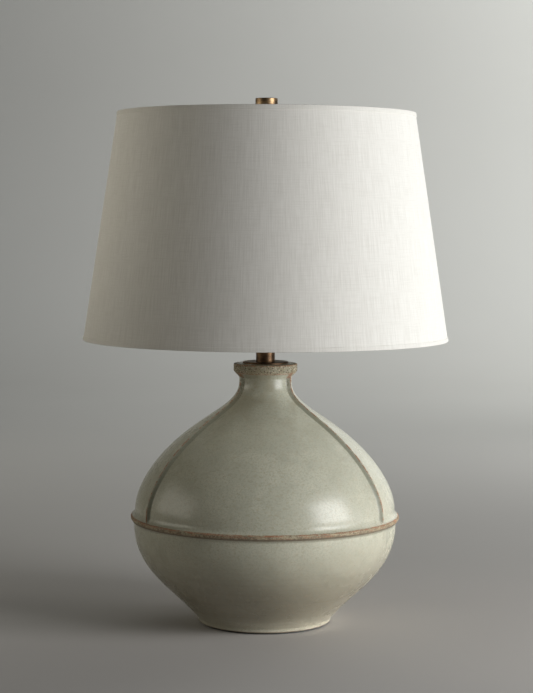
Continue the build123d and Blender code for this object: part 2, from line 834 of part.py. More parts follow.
wall_lean = (shade_bottom_radius - shade_top_radius) / shade_height
layer_depth = hem_thickness + glue_line
liner_depth = layer_depth + linen_thickness + glue_line
ring_depth = liner_depth + shade_liner_thickness + glue_line + ring_wire_radius
ring_rise = layer_depth + ring_wire_radius


def wall_point(depth, height):
    """A point inside the shade's sloping outer face, height from the bottom rim."""
    return (shade_bottom_radius - wall_lean * height - depth, shade_bottom_z + height)


with BuildPart() as shade_linen:
    with BuildSketch(Plane.XZ):
        with BuildLine():
            Polyline(
                wall_point(layer_depth, layer_depth),
                wall_point(layer_depth, shade_height - layer_depth),
                wall_point(layer_depth + linen_thickness, shade_height - layer_depth),
                wall_point(layer_depth + linen_thickness, layer_depth),
                close=True,
            )
        make_face()
    revolve(axis=Axis.Z)
shade_linen.part.label = "shade_linen"
export_step(shade_linen.part, "parts/shade_linen.step")

with BuildPart() as shade_liner:
    with BuildSketch(Plane.XZ):
        with BuildLine():
            Polyline(
                wall_point(liner_depth, layer_depth),
                wall_point(liner_depth, shade_height - layer_depth),
                wall_point(liner_depth + shade_liner_thickness, shade_height - layer_depth),
                wall_point(liner_depth + shade_liner_thickness, layer_depth),
                close=True,
            )
        make_face()
    revolve(axis=Axis.Z)
shade_liner.part.label = "shade_liner"
export_step(shade_liner.part, "parts/shade_liner.step")

with BuildPart() as bottom_ring:
    ring_centre = wall_point(ring_depth, ring_rise)
    with BuildSketch(Plane.XZ):
        with Locations(ring_centre):
            Circle(ring_wire_radius)
    revolve(axis=Axis.Z)
bottom_ring.part.label = "bottom_ring"
export_step(bottom_ring.part, "parts/bottom_ring.step")

# Each hem is a strip folded over the rim, the panel's edge and the wire.
hem_depth = ring_depth + ring_wire_radius + glue_line + hem_thickness
for rim_height, inwards, hem_name in ((0, 1, "bottom_hem"), (shade_height, -1, "top_hem")):
    fold = rim_height + inwards * hem_thickness
    edge = rim_height + inwards * hem_height
    with BuildPart() as hem:
        with BuildSketch(Plane.XZ):
            with BuildLine():
                Polyline(
                    wall_point(0, rim_height),
                    wall_point(0, edge),
                    wall_point(hem_thickness, edge),
                    wall_point(hem_thickness, fold),
                    wall_point(hem_depth - hem_thickness, fold),
                    wall_point(hem_depth - hem_thickness, edge),
                    wall_point(hem_depth, edge),
                    wall_point(hem_depth, rim_height),
                    close=True,
                )
            make_face()
        revolve(axis=Axis.Z)
    hem.part.label = hem_name
    export_step(hem.part, f"parts/{hem_name}.step")

# The spider is one welded piece: a washer recessed below the rim, spokes and the top ring.
# Each spoke runs flat, then climbs beside the wall into the top hem's open fold.
spoke_z = seat_z

with BuildPart() as spider_spoke:
    with BuildLine(Plane.XZ) as spoke_path:
        FilletPolyline(
            (spider_washer_radius - ring_wire_radius, spoke_z),
            wall_point(ring_depth, spoke_z - shade_bottom_z),
            wall_point(ring_depth, shade_height - ring_rise - weld),
            radius=spoke_round,
        )
    with BuildSketch(Plane(spoke_path.line @ 0, z_dir=spoke_path.line % 0)):
        Circle(ring_wire_radius)
    sweep(path=spoke_path.line)

with BuildPart() as spider_fitter:
    with BuildSketch(Plane.XY.offset(seat_z)):
        Circle(spider_washer_radius)
    extrude(amount=spider_washer_thickness)
    with BuildSketch(Plane.XZ):
        with Locations(wall_point(ring_depth, shade_height - ring_rise)):
            Circle(ring_wire_radius)
    revolve(axis=Axis.Z)
    with PolarLocations(0, spoke_count, start_angle=spoke_start_angle):
        add(spider_spoke.part)
    with BuildSketch(Plane.XY.offset(seat_z)):
        Circle(stud_radius + body_gap)
    extrude(amount=spider_washer_thickness, mode=Mode.SUBTRACT)
spider_fitter.part.label = "spider_fitter"
export_step(spider_fitter.part, "parts/spider_fitter.step")


# ================= finial =================

finial_top_z = spider_top_z + finial_height

with BuildPart() as finial_bush:
    with BuildSketch(Plane.XY.offset(spider_top_z)):
        Circle(bush_radius)
    extrude(amount=bush_length)
    with BuildSketch(Plane.XY.offset(spider_top_z)):
        Circle(stud_radius + thread_gap)
    extrude(amount=stud_reach + body_gap, mode=Mode.SUBTRACT)
finial_bush.part.label = "finial_bush"
export_step(finial_bush.part, "parts/finial_bush.step")

with BuildPart() as finial_knob:
    finial_foot_z = spider_top_z + body_gap
    flange_top_z = finial_foot_z + finial_flange_height
    drum_z = finial_top_z - finial_drum_height
    bush_top_z = spider_top_z + bush_length + body_gap
    with BuildSketch(Plane.XZ):
        with BuildLine():
            Line((bush_radius + running_fit, finial_foot_z), (finial_flange_radius, finial_foot_z))
            Line((finial_flange_radius, finial_foot_z), (finial_flange_radius, flange_top_z))
            waist = Line((finial_flange_radius, flange_top_z), (finial_waist_radius, flange_top_z))
            TangentArc(waist @ 1, (finial_drum_radius, drum_z), tangent=(0, 1))
            Line((finial_drum_radius, drum_z), (finial_drum_radius, finial_top_z))
            Line((finial_drum_radius, finial_top_z), (0, finial_top_z))
            Line((0, finial_top_z), (0, bush_top_z))
            Line((0, bush_top_z), (bush_radius + running_fit, bush_top_z))
            Line((bush_radius + running_fit, bush_top_z), (bush_radius + running_fit, finial_foot_z))
        make_face()
    revolve(axis=Axis.Z)
    chamfer(rims(finial_knob, finial_drum_radius, finial_top_z), finial_chamfer)
    chamfer(rims(finial_knob, finial_flange_radius, flange_top_z), finial_chamfer)
finial_knob.part.label = "finial_knob"
export_step(finial_knob.part, "parts/finial_knob.step")
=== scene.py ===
"""Dresses the ginger jar lamp: a glazed jar, a linen shade and aged bronze, in a plain studio."""

import math
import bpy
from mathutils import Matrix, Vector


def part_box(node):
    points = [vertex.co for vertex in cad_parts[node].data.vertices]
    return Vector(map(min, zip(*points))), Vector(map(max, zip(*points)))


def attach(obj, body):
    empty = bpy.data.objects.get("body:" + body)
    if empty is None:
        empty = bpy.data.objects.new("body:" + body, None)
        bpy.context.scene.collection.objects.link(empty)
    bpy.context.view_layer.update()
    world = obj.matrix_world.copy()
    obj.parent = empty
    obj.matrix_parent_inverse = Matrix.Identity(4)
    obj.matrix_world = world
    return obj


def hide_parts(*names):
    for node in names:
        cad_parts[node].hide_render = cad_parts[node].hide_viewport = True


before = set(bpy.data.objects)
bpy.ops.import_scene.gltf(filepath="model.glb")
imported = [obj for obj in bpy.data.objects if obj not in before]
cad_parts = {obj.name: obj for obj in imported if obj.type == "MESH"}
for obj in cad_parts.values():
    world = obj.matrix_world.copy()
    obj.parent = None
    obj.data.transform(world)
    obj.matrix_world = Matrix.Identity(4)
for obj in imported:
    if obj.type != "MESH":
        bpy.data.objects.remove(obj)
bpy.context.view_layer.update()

from types import SimpleNamespace

import bpy
from bpy.props import FloatProperty, FloatVectorProperty, PointerProperty
from mathutils import Vector, noise

bl_info = {
    "name": "Ginger Jar Lamp",
    "version": (1, 0, 0),
    "blender": (4, 5, 0),
    "location": "View3D > Sidebar > Lamp",
    "description": "Dresses a ginger jar lamp with glaze, linen and aged bronze",
    "category": "Add Mesh",
}

MM = 0.001  # one millimetre in metres
JAR_LOW, JAR_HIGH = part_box("jar_body")
FELT_LOW, FELT_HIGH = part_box("felt_pad")
SHADE_LOW, SHADE_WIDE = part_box("bottom_hem")
SHADE_NARROW, SHADE_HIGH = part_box("top_hem")
THREAD_LOW, THREAD_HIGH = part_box("bulb_cap")


# ---- sizes and colours


def length(name, description, default):
    """A size in metres."""
    return FloatProperty(name=name, description=description, default=default, unit="LENGTH")


def colour(name, description, default):
    """A colour given by its three linear parts."""
    return FloatVectorProperty(
        name=name, description=description, default=default, subtype="COLOR", min=0.0, max=1.0
    )


def power(name, description, default):
    """The strength of a light in watts."""
    return FloatProperty(name=name, description=description, default=default, unit="POWER")


def tilt(name, description, degrees):
    """An angle, given in degrees."""
    turned = math.radians(degrees)
    return FloatProperty(name=name, description=description, default=turned, subtype="ANGLE")


class JarSettings(bpy.types.PropertyGroup):
    """The jar as it was thrown, ribbed and glazed."""

    foot_radius: length("Foot radius", "Radius of the foot's upright edge", 74.5 * MM)
    foot_height: length("Foot height", "Upright edge of the foot", 3.5 * MM)
    foot_round: length("Foot round", "Rounding between the foot and the bowl", 5 * MM)
    foot_wall: length("Foot wall", "Width of the foot's standing ring", 12 * MM)
    foot_recess: length("Foot recess", "Depth of the hollow under the floor", 15 * MM)
    floor_thickness: length("Floor thickness", "Thickness of the jar's floor", 7 * MM)
    floor_hole: length("Floor hole", "Radius of the pipe's hole in the floor", 6.5 * MM)
    bowl_radius: length("Bowl radius", "Widest radius of the bowl", 146.4 * MM)
    bowl_rise: length("Bowl rise", "Height of the bowl above the foot's edge", 105 * MM)
    wall: length("Wall", "Thickness of the jar's wall", 6.5 * MM)
    ring_start: length("Ring start", "Where the ring leaves the bowl, above its widest place", 2.8 * MM)
    ring_rise: length("Ring rise", "Middle of the ring's crest above the bowl's widest place", 9.2 * MM)
    ring_edge: length("Ring edge", "Height of the ring's worn crest", 3 * MM)
    ring_cove: length("Ring cove", "Height of the hollow above the crest", 8 * MM)
    ring_round: length("Ring round", "Rounding of the crest's edges", 1.2 * MM)
    dome_radius: length("Dome radius", "Radius of the dome where it leaves the ring", 145.2 * MM)
    neck_radius: length("Neck radius", "Radius of the neck's narrowest place", 29.3 * MM)
    neck_height: length("Neck height", "Upright part of the neck", 4.5 * MM)
    mouth_radius: length("Mouth radius", "Radius of the jar's mouth", 22 * MM)
    lip_radius: length("Lip radius", "Outer radius of the lip", 35.8 * MM)
    lip_height: length("Lip height", "Height of the lip's upright face", 8 * MM)
    lip_flare: length("Lip flare", "Height of the slope under the lip", 7.5 * MM)
    lip_round: length("Lip round", "Rounding of the lip's edges", 1.6 * MM)
    rib_proud: length("Rib height", "Rib's crest above the wall", 3.6 * MM)
    rib_crest: length("Rib crest", "Half width of the rib's flat crest", 0.5 * MM)
    rib_spread: length("Rib spread", "Half width of the rib where it meets the wall", 4.8 * MM)
    wear: length("Wear", "How deep the edges are worn", 0.3 * MM)
    outlet_height: length("Outlet height", "Cord hole's centre above the table", 10.5 * MM)
    outlet_radius: length("Outlet radius", "Radius of the cord hole", 4.2 * MM)
    outlet_seat: length("Outlet seat", "Radius of the bushing's seat", 5.7 * MM)
    outlet_depth: length("Outlet depth", "Bushing's seat inside the foot's edge", 3 * MM)
    glaze: colour("Glaze", "Even glaze on the panels", (0.52, 0.51, 0.405))
    pooled: colour("Pooled glaze", "Glaze where it has run thick", (0.31, 0.315, 0.245))
    # Also darker than thick glaze alone: painted shade on the ribs' flanks.
    deep: colour("Deep glaze", "Thickest glaze, on the flanks of the ribs", (0.17, 0.175, 0.125))
    # Also darker than the glaze alone: painted shade and a painted dark reflection on the downward-facing
    # lower bowl.
    toasted_and_shaded: colour("Toasted glaze", "Warmer glaze on the lower bowl", (0.22, 0.185, 0.13))
    clay: colour("Rusty clay", "Clay that shows where the glaze is worn off", (0.36, 0.165, 0.085))
    tan: colour("Tan glaze", "Thin glaze on the lip and the ring", (0.34, 0.285, 0.175))
    # Also painted as the shadow line under the ring and the contact shadow along the foot's bottom edge.
    oxide_and_shadow: colour("Burnt clay", "Dark oxide beside the worn edges", (0.13, 0.085, 0.05))
    cream: colour("Cream flecks", "Pale flecks of broken glaze", (0.62, 0.52, 0.40))
    inside: colour("Inside", "Unglazed clay inside the jar", (0.32, 0.24, 0.17))


class ShadeSettings(bpy.types.PropertyGroup):
    """The linen shade, and the felt under the foot."""

    linen_thickness: length("Linen thickness", "Thickness of the cloth", 0.8 * MM)
    linen_depth: length("Linen depth", "Cloth's face inside the hems' face", 0.6 * MM)
    lap_width: length("Lap width", "Width of the seam's overlap at the back", 11 * MM)
    lap_rise: length("Lap rise", "How far the lap stands proud", 0.45 * MM)
    hem_thickness: length("Hem thickness", "Thickness of the folded strip", 0.55 * MM)
    hem_height: length("Hem height", "Height of the strip on the rim", 4.6 * MM)
    hem_depth: length("Hem depth", "How far the strip folds inwards", 5.8 * MM)
    thread_pitch: length("Thread pitch", "Distance between the linen's threads", 1.1 * MM)
    linen: colour("Linen", "Warm off-white cloth", (0.75, 0.725, 0.67))
    slub: colour("Slubs", "Thicker, darker threads", (0.56, 0.53, 0.47))
    lining: colour("Lining", "Styrene behind the linen", (0.80, 0.79, 0.74))
    felt: colour("Felt", "Green-black felt under the foot", (0.035, 0.04, 0.034))
    lint: colour("Lint", "Paler fibres in the felt", (0.10, 0.11, 0.10))


class MetalSettings(bpy.types.PropertyGroup):
    """The lamp's metals."""

    bronze: colour("Bronze", "Dark patina on the brass", (0.10, 0.062, 0.038))
    rubbed: colour("Rubbed bronze", "Brass that shows where it is rubbed", (0.44, 0.27, 0.14))
    polished: colour("Polished bronze", "Brass rubbed bright by hands", (0.68, 0.46, 0.25))
    brass: colour("Brass", "Yellow brass", (0.72, 0.53, 0.25))
    zinc: colour("Zinc", "Plated steel", (0.58, 0.58, 0.56))
    tarnish: colour("Tarnish", "Brown bloom on the bare metals", (0.20, 0.15, 0.10))
    thread_depth: length("Thread depth", "Depth of the bulb cap's rolled thread", 0.7 * MM)
    thread_pitch: length("Thread pitch", "Rise of the bulb cap's thread in one turn", 3.63 * MM)
    thread_collar: length("Thread collar", "Smooth collar above the thread", 8.5 * MM)
    cap_wall: length("Cap wall", "Sheet thickness of the bulb cap", 0.4 * MM)


class StudioSettings(bpy.types.PropertyGroup):
    """The camera and the lights."""

    camera_height: length("Camera height", "Height of the lens above the table", 456 * MM)
    camera_distance: length("Camera distance", "Lens from the lamp's axis", 2077 * MM)
    camera_side: length("Camera side", "Lens to the right of the lamp's axis", 0.4 * MM)
    camera_pitch: tilt("Camera pitch", "Angle below level", 4.034)
    camera_roll: tilt("Camera roll", "Turn about the line of sight", 0.25)
    lens: FloatProperty(name="Lens", description="Focal length", default=96.9, unit="CAMERA")
    window: power("Window light", "Large light, right of the front", 28.0)
    key: power("Key light", "Low light on the right", 8.5)
    rim: power("Rim light", "Light from behind on the right", 5.0)
    fill: power("Fill light", "Weak light on the left", 5.4)
    shade_fill: power("Shade fill", "Narrow beam on the shade from the left", 0.16)
    bowl_light: power("Bowl light", "Narrow warm beam on the lower bowl from the right", 0.22)
    wall: power("Wall light", "Light on the backdrop alone", 184.0)
    room: FloatProperty(name="Room light", description="Even light all around", default=0.005, min=0)
    floor: colour("Floor", "Pale floor and backdrop", (0.45, 0.43, 0.405))


# ---- shader sums and finishes


class Reading:
    """A value in a finish that takes part in ordinary sums."""

    def __init__(self, finish, socket):
        self.finish = finish
        self.socket = socket

    def sum(self, operation, *numbers):
        """A Math node on these numbers, in their order."""
        return self.finish.node("ShaderNodeMath", {"operation": operation}, dict(enumerate(numbers)))

    def __add__(self, other):
        return self.sum("ADD", self, other)

    def __radd__(self, other):
        return self.sum("ADD", other, self)

    def __sub__(self, other):
        return self.sum("SUBTRACT", self, other)

    def __rsub__(self, other):
        return self.sum("SUBTRACT", other, self)

    def __mul__(self, other):
        return self.sum("MULTIPLY", self, other)

    def __rmul__(self, other):
        return self.sum("MULTIPLY", other, self)

    def __truediv__(self, other):
        return self.sum("DIVIDE", self, other)

    def __abs__(self):
        return self.sum("ABSOLUTE", self)

    def sine(self):
        return self.sum("SINE", self)

    def rounded(self):
        return self.sum("ROUND", self)

    def root(self):
        return self.sum("SQRT", self)

    def over(self, other):
        """The angle whose tangent is this value over the other."""
        return self.sum("ARCTAN2", self, other)

    def rise(self, low, high):
        """From 0 at low to 1 at high, eased at both ends, and falling where high is the lesser."""
        start = 0.0 if low < high else 1.0
        sockets = {"Value": self, "From Min": min(low, high), "From Max": max(low, high)}
        sockets.update({"To Min": start, "To Max": 1.0 - start})
        settings = {"interpolation_type": "SMOOTHSTEP"}
        return self.finish.node("ShaderNodeMapRange", settings, sockets, "Result")

    def band(self, low, high, soft):
        """1 between low and high, with edges this soft."""
        return self.rise(low - soft, low + soft) * self.rise(high + soft, high - soft)


class Finish:
    """One material, built up node by node."""

    def __init__(self, name):
        self.material = bpy.data.materials.new(name)
        self.material.use_nodes = True
        self.tree = self.material.node_tree
        self.tree.nodes.clear()
        self.place = self.node("ShaderNodeTexCoord", output="Object")
        parts = self.node("ShaderNodeSeparateXYZ", sockets={0: self.place})
        outputs = parts.socket.node.outputs
        self.right, self.back, self.up = (Reading(self, part) for part in outputs)

    def node(self, kind, settings=None, sockets=None, output=0):
        """Adds a node: its settings first, then its sockets' values or links."""
        made = self.tree.nodes.new(kind)
        for name, value in (settings or {}).items():
            setattr(made, name, value)
        for name, value in (sockets or {}).items():
            if isinstance(value, Reading):
                self.tree.links.new(value.socket, made.inputs[name])
            else:
                made.inputs[name].default_value = value
        return Reading(self, made.outputs[output]) if made.outputs else made

    def radius(self):
        """Distance from the lamp's axis."""
        return (self.right * self.right + self.back * self.back).root()

    def turn(self):
        """Angle round the lamp's axis, 0 at the front, with its jump at the back."""
        return self.right.over(self.back * -1.0)

    def stretched(self, right, back, up):
        """The place, with each direction scaled by its own amount."""
        sockets = {0: self.place, 1: (right, back, up)}
        return self.node("ShaderNodeVectorMath", {"operation": "MULTIPLY"}, sockets)

    def joined(self, first, second, third=0.0):
        """Three values as one place."""
        return self.node("ShaderNodeCombineXYZ", sockets={0: first, 1: second, 2: third})

    def cloud(self, scale, detail=3.0, place=None):
        """Soft noise from 0 to 1."""
        sockets = {"Vector": place or self.place, "Scale": scale, "Detail": detail, "Roughness": 0.55}
        return self.node("ShaderNodeTexNoise", {}, sockets, "Fac")

    def dots(self, scale, place=None):
        """Distance to the nearest of scattered points, in cells."""
        sockets = {"Vector": place or self.place, "Scale": scale}
        return self.node("ShaderNodeTexVoronoi", {"feature": "F1"}, sockets, "Distance")

    def mix(self, amount, first, second):
        """The first colour with this much of the second over it."""
        sockets = {0: amount}
        for socket, shown in ((6, first), (7, second)):
            sockets[socket] = shown if isinstance(shown, Reading) else (*shown[:3], 1.0)
        settings = {"data_type": "RGBA", "clamp_factor": True}
        return self.node("ShaderNodeMix", settings, sockets, 2)

    def bump(self, height, depth, strength=1.0):
        """A normal from a height, where a height of 1 is this deep."""
        sockets = {"Height": height, "Distance": depth, "Strength": strength}
        return self.node("ShaderNodeBump", {}, sockets)

    def layered(self, base, *layers):
        """The base colour under its layers, each given as how much of it and its colour."""
        for amount, shown in layers:
            base = self.mix(amount, base, shown)
        return base

    def surface(self, body, roughness, normal=None, others=None):
        """Ends the finish with its surface shader; others holds more of its sockets by name."""
        sockets = {"Base Color": body, "Roughness": roughness, **(others or {})}
        if normal:
            sockets["Normal"] = normal
        shader = self.node("ShaderNodeBsdfPrincipled", {}, sockets)
        self.node("ShaderNodeOutputMaterial", {}, {"Surface": shader})
        return self.material


def glaze_zones(finish, jar, level):
    """Where the parts of the jar's outside lie, each as a value from 0 to 1."""
    up, radius = finish.up, finish.radius()
    thirds = finish.back.over(finish.right) / RIB_TURN - RIB_START / RIB_TURN
    beside_rib = abs(((thirds - thirds.rounded()) * RIB_TURN).sine() * radius)
    ribbed = up.rise(level.ring_high - 1 * MM, level.ring_high + 3 * MM)
    ribbed = ribbed * up.rise(level.lip_edge, level.lip_edge - 3 * MM)
    ring = up.band(level.ring_low - 0.6 * MM, level.ring_high + 0.9 * MM, 0.4 * MM)
    ring = ring * radius.rise(level.ring_radius - 3 * MM, level.ring_radius - 1.5 * MM)
    under_ring = up.band(level.ring_low - 2.6 * MM, level.ring_low - 0.4 * MM, 1 * MM)
    lip = up.rise(level.lip_edge - 3.6 * MM, level.lip_edge - 2.4 * MM)
    lip = lip * radius.rise(jar.lip_radius - 5.5 * MM, jar.lip_radius - 4 * MM)
    lip_top = up.band(level.lip - 1.5 * MM, level.lip + 1 * MM, 0.5 * MM)
    under_lip = up.band(level.flare, level.lip_edge - 1.5 * MM, 1.5 * MM)
    return SimpleNamespace(
        low_bowl=up.rise(level.belly + 4 * MM, level.foot_top + 30 * MM),
        foot_band=up.rise(level.foot_top + 16 * MM, level.foot_top + 4 * MM),
        # painted contact shadow along the foot's bottom edge
        foot_edge=up.rise(level.foot + 1.3 * MM, level.foot + 0.5 * MM),
        crest=beside_rib.rise(1.5 * MM, 0.8 * MM) * ribbed,
        crest_side=beside_rib.rise(1.7 * MM, 0.8 * MM) * ribbed,
        # pooled glaze with painted shade on the ribs' flanks
        corner=beside_rib.band(1.4 * MM, 4.4 * MM, 0.6 * MM) * ribbed,
        above_ring=up.band(level.ring_high + 2.5 * MM, level.dome - 1 * MM, 1.5 * MM),
        ring=ring,
        ring_top=ring * up.band(level.ring_high - 0.5 * MM, level.ring_high + 0.9 * MM, 0.3 * MM),
        # painted shadow line under the ring
        under_ring=under_ring * radius.rise(jar.bowl_radius - 1 * MM, jar.bowl_radius + 0.2 * MM),
        lip=lip,
        lip_top=lip_top * radius.rise(jar.lip_radius - 1.9 * MM, jar.lip_radius - 0.9 * MM),
        lip_low=lip * up.band(level.lip_edge - 3 * MM, level.lip_edge - 1.4 * MM, 0.5 * MM),
        rib_end=under_lip * beside_rib.rise(7 * MM, 3 * MM),
        rib_root=up.rise(level.flare - 38 * MM, level.flare - 4 * MM) * beside_rib.rise(8 * MM, 4 * MM),
        shoulder=up.rise(level.flare - 70 * MM, level.flare - 10 * MM),
    )


def glaze_finish(jar, level):
    """Mottled celadon glaze, worn through to rusty clay on the ribs, the ring and the lip."""
    finish = Finish("jar_glaze")
    zone = glaze_zones(finish, jar, level)
    coarse = finish.cloud(38.0)
    medium = finish.cloud(170.0, 4.0)
    fine = finish.cloud(650.0)
    grain = finish.cloud(1700.0, 2.0)
    mottle = finish.cloud(340.0, 3.0, finish.stretched(1.0, 1.0, 1.6))
    thrown = finish.cloud(1.0, 3.0, finish.stretched(11.0, 11.0, 420.0))
    streaks = finish.cloud(1.0, 3.0, finish.stretched(85.0, 85.0, 900.0))
    flecks = finish.dots(400.0, finish.stretched(1.0, 1.0, 1.2)).rise(0.40, 0.24)
    specks = finish.dots(450.0).rise(0.46, 0.30)
    pinholes = finish.dots(150.0).rise(0.075, 0.035) * medium.rise(0.50, 0.60)
    broken = medium * 0.6 + fine * 0.4
    drift = coarse.rise(0.28, 0.75)
    # warmer glaze with painted shade and dark reflection on the lower bowl, less of it near the foot
    toast_and_shade = (0.45 + 0.5 * medium) * (1.0 - 0.75 * zone.foot_band)
    crest = zone.crest * (medium * 0.75 + fine * 0.45).rise(0.52, 0.66)
    body = finish.layered(
        jar.glaze,
        # the even glaze, warmer and darkened as painted shade on the lower bowl, paler just above the foot
        (drift * 0.35, jar.pooled),
        (zone.low_bowl * toast_and_shade, jar.toasted_and_shaded),
        (zone.low_bowl * thrown.rise(0.46, 0.68) * 0.28, jar.toasted_and_shaded),
        (zone.foot_band * 0.14 + medium.rise(0.50, 0.74) * 0.16, jar.cream),
        (fine.rise(0.47, 0.62) * 0.40, jar.pooled),
        (mottle.rise(0.50, 0.64) * 0.32, jar.tan),
        # thick glaze above the ring, and pooled glaze with painted shade on the ribs' flanks
        (zone.above_ring * (0.10 + 0.10 * coarse), jar.pooled),
        (zone.corner * (0.38 + 0.32 * coarse), jar.deep),
        # the ribs' crests
        (zone.crest_side * medium.rise(0.45, 0.62) * 0.40, jar.oxide_and_shadow),
        (crest * 0.80, jar.clay),
        (crest * flecks * 0.60, jar.cream),
        # the belly ring, and the painted shadow line under it
        (zone.under_ring * (0.70 + 0.30 * medium), jar.oxide_and_shadow),
        (zone.ring * 0.85, jar.tan),
        (zone.ring * broken.rise(0.42, 0.56) * 0.65, jar.oxide_and_shadow),
        (zone.ring * streaks.rise(0.52, 0.60) * 0.50, jar.clay),
        (zone.ring * fine.rise(0.52, 0.62) * 0.45, jar.oxide_and_shadow),
        (zone.ring_top * (medium * 0.5 + streaks * 0.5).rise(0.42, 0.54) * 0.75, jar.clay),
        (zone.ring * flecks * 0.30, jar.cream),
        # the lip, with its upper and lower edges
        (zone.lip * 0.80, jar.tan),
        (zone.lip * broken.rise(0.48, 0.58) * 0.50, jar.pooled),
        (zone.lip * specks, jar.oxide_and_shadow),
        (zone.lip * flecks * 0.85, jar.cream),
        (zone.lip_top * broken.rise(0.44, 0.54) * 0.85, jar.clay),
        (zone.lip_low * broken.rise(0.40, 0.52) * 0.65, jar.cream),
        (zone.lip_low * fine.rise(0.50, 0.58) * 0.75, jar.clay),
        # the ribs' upper ends and the shoulder
        (zone.rib_end * medium.rise(0.38, 0.55) * 0.70, jar.clay),
        (zone.shoulder * coarse.rise(0.46, 0.62) * 0.35, jar.tan),
        (zone.rib_root * specks * 0.45, jar.oxide_and_shadow),
        (zone.rib_root * flecks * 0.35, jar.cream),
        # the painted contact shadow along the foot's bottom edge, and the pinholes all over
        (zone.foot_edge * (0.60 + 0.40 * medium), jar.oxide_and_shadow),
        (pinholes * 0.75, jar.oxide_and_shadow),
    )
    dry = crest + zone.ring + zone.under_ring + zone.lip + zone.foot_edge + zone.rib_end
    dry = dry.rise(0.0, 1.0)
    height = finish.cloud(26.0, 1.0) * 0.9 + fine * 0.03 - pinholes * 0.5
    height = height + dry * (grain * 0.35 + medium * 0.4 - specks * 0.35)
    roughness = 0.20 + 0.08 * drift + 0.06 * fine + 0.48 * dry
    return finish.surface(body, roughness, finish.bump(height, 0.45 * MM, 0.55))


def clay_finish(jar):
    """Bare fired clay inside the jar, with throwing rings."""
    finish = Finish("bare_clay")
    rings = finish.cloud(1.0, 2.0, finish.stretched(4.0, 4.0, 240.0))
    grog = finish.dots(420.0).rise(0.35, 0.10)
    body = finish.layered(jar.inside, (rings * 0.5, jar.clay), (grog * 0.5, jar.cream))
    height = rings * 0.8 + finish.cloud(900.0) * 0.2 + grog * 0.2
    return finish.surface(body, 0.85, finish.bump(height, 0.5 * MM, 0.7))


def linen_finish(name, shade, darker):
    """Plain-woven linen with uneven threads, most of them seen running up the shade."""
    finish = Finish(name)
    threads = 1.0 / shade.thread_pitch
    around = finish.turn() * SHADE_WIDE.x * threads
    upwards = finish.up * threads
    warp = finish.cloud(1.0, 2.0, finish.joined(around, upwards * 0.035))
    weft = finish.cloud(1.0, 2.0, finish.joined(around * 0.04, upwards, 7.0))
    slubs = finish.cloud(1.0, 2.0, finish.joined(around * 0.7, upwards * 0.02, 3.0))
    faint = finish.cloud(60.0, 3.0)
    body = finish.layered(
        shade.linen,
        (warp.rise(0.35, 0.70) * 0.38 + darker, shade.slub),
        (weft.rise(0.42, 0.72) * 0.22, shade.slub),
        (slubs.rise(0.56, 0.70) * 0.18, shade.slub),
        (faint.rise(0.35, 0.70) * 0.06, shade.slub),
    )
    normal = finish.bump(warp * 0.7 + weft * 0.45 + slubs * 0.4, 0.30 * MM, 0.5)
    sheen = {"Sheen Weight": 0.12, "Sheen Roughness": 0.5}
    return finish.surface(body, 0.82 + 0.12 * weft, normal, sheen)


def felt_finish(shade):
    """Pressed wool felt."""
    finish = Finish("felt")
    fibres = finish.cloud(900.0, 5.0)
    clumps = finish.cloud(140.0)
    body = finish.mix(fibres.rise(0.35, 0.75) * 0.6, shade.felt, shade.lint)
    normal = finish.bump(fibres + clumps * 0.6, 0.4 * MM, 0.8)
    return finish.surface(body, 0.96, normal, {"Sheen Weight": 0.4})


def bronze_finish(name, metal, rubbed, lines, shown=None):
    """Brass under a dark brown patina, rubbed through in streaks along the tool's lines."""
    finish = Finish(name)
    streaks = finish.cloud(26.0, 3.0, finish.stretched(*lines))
    blotches = finish.cloud(210.0, 4.0)
    scratches = finish.cloud(900.0, 3.0)
    worn = streaks.rise(0.42, 0.68) * rubbed + blotches.rise(0.52, 0.70) * rubbed * 0.6
    tarnish = scratches.rise(0.56, 0.72) * 0.35
    body = finish.layered(metal.bronze, (worn, shown or metal.rubbed), (tarnish, metal.tarnish))
    roughness = 0.30 + 0.16 * blotches + 0.10 * scratches
    normal = finish.bump(streaks * 0.5 + scratches * 0.4, 0.06 * MM, 0.5)
    return finish.surface(body, roughness, normal, {"Metallic": 1.0})


def plated_finish(name, metal, base, grain=420.0, roughness=0.30):
    """Clean metal with a fine grain and a little tarnish."""
    finish = Finish(name)
    spots = finish.cloud(grain, 4.0)
    bloom = finish.cloud(90.0)
    body = finish.mix(bloom.rise(0.45, 0.75) * 0.35, base, metal.tarnish)
    normal = finish.bump(spots, 0.05 * MM, 0.5)
    return finish.surface(body, roughness + 0.18 * spots, normal, {"Metallic": 1.0})


def moulded_finish(name, base, pale, roughness=0.45, grain=700.0, coat=0.0):
    """Moulded or pressed plastic, rubber or card, with a fine even grain."""
    finish = Finish(name)
    grains = finish.cloud(grain, 4.0)
    cloudy = finish.cloud(60.0)
    body = finish.mix(cloudy.rise(0.35, 0.75) * 0.4 + grains.rise(0.50, 0.75) * 0.3, base, pale)
    normal = finish.bump(grains, 0.06 * MM, 0.5)
    return finish.surface(body, roughness + 0.15 * grains, normal, {"Coat Weight": coat})


def glass_finish(name, base, tint, roughness):
    """Glass with a soft inner coating or a dark body."""
    finish = Finish(name)
    dust = finish.cloud(300.0, 4.0)
    depth = finish.cloud(25.0)
    body = finish.mix(depth.rise(0.3, 0.8) * 0.5 + dust.rise(0.6, 0.8) * 0.2, base, tint)
    normal = finish.bump(dust, 0.02 * MM, 0.3)
    coat = {"Coat Weight": 0.5, "Coat Roughness": 0.08}
    return finish.surface(body, roughness + 0.08 * dust, normal, coat)


def dress(slot, finish, names=None):
    """Gives the carried-over pieces of one material slot their finish, or only the named ones."""
    for name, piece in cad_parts.items():
        if names and name not in names:
            continue
        for place in piece.material_slots:
            if place.material and place.material.name == slot:
                place.material = finish


# ---- drawing and meshing


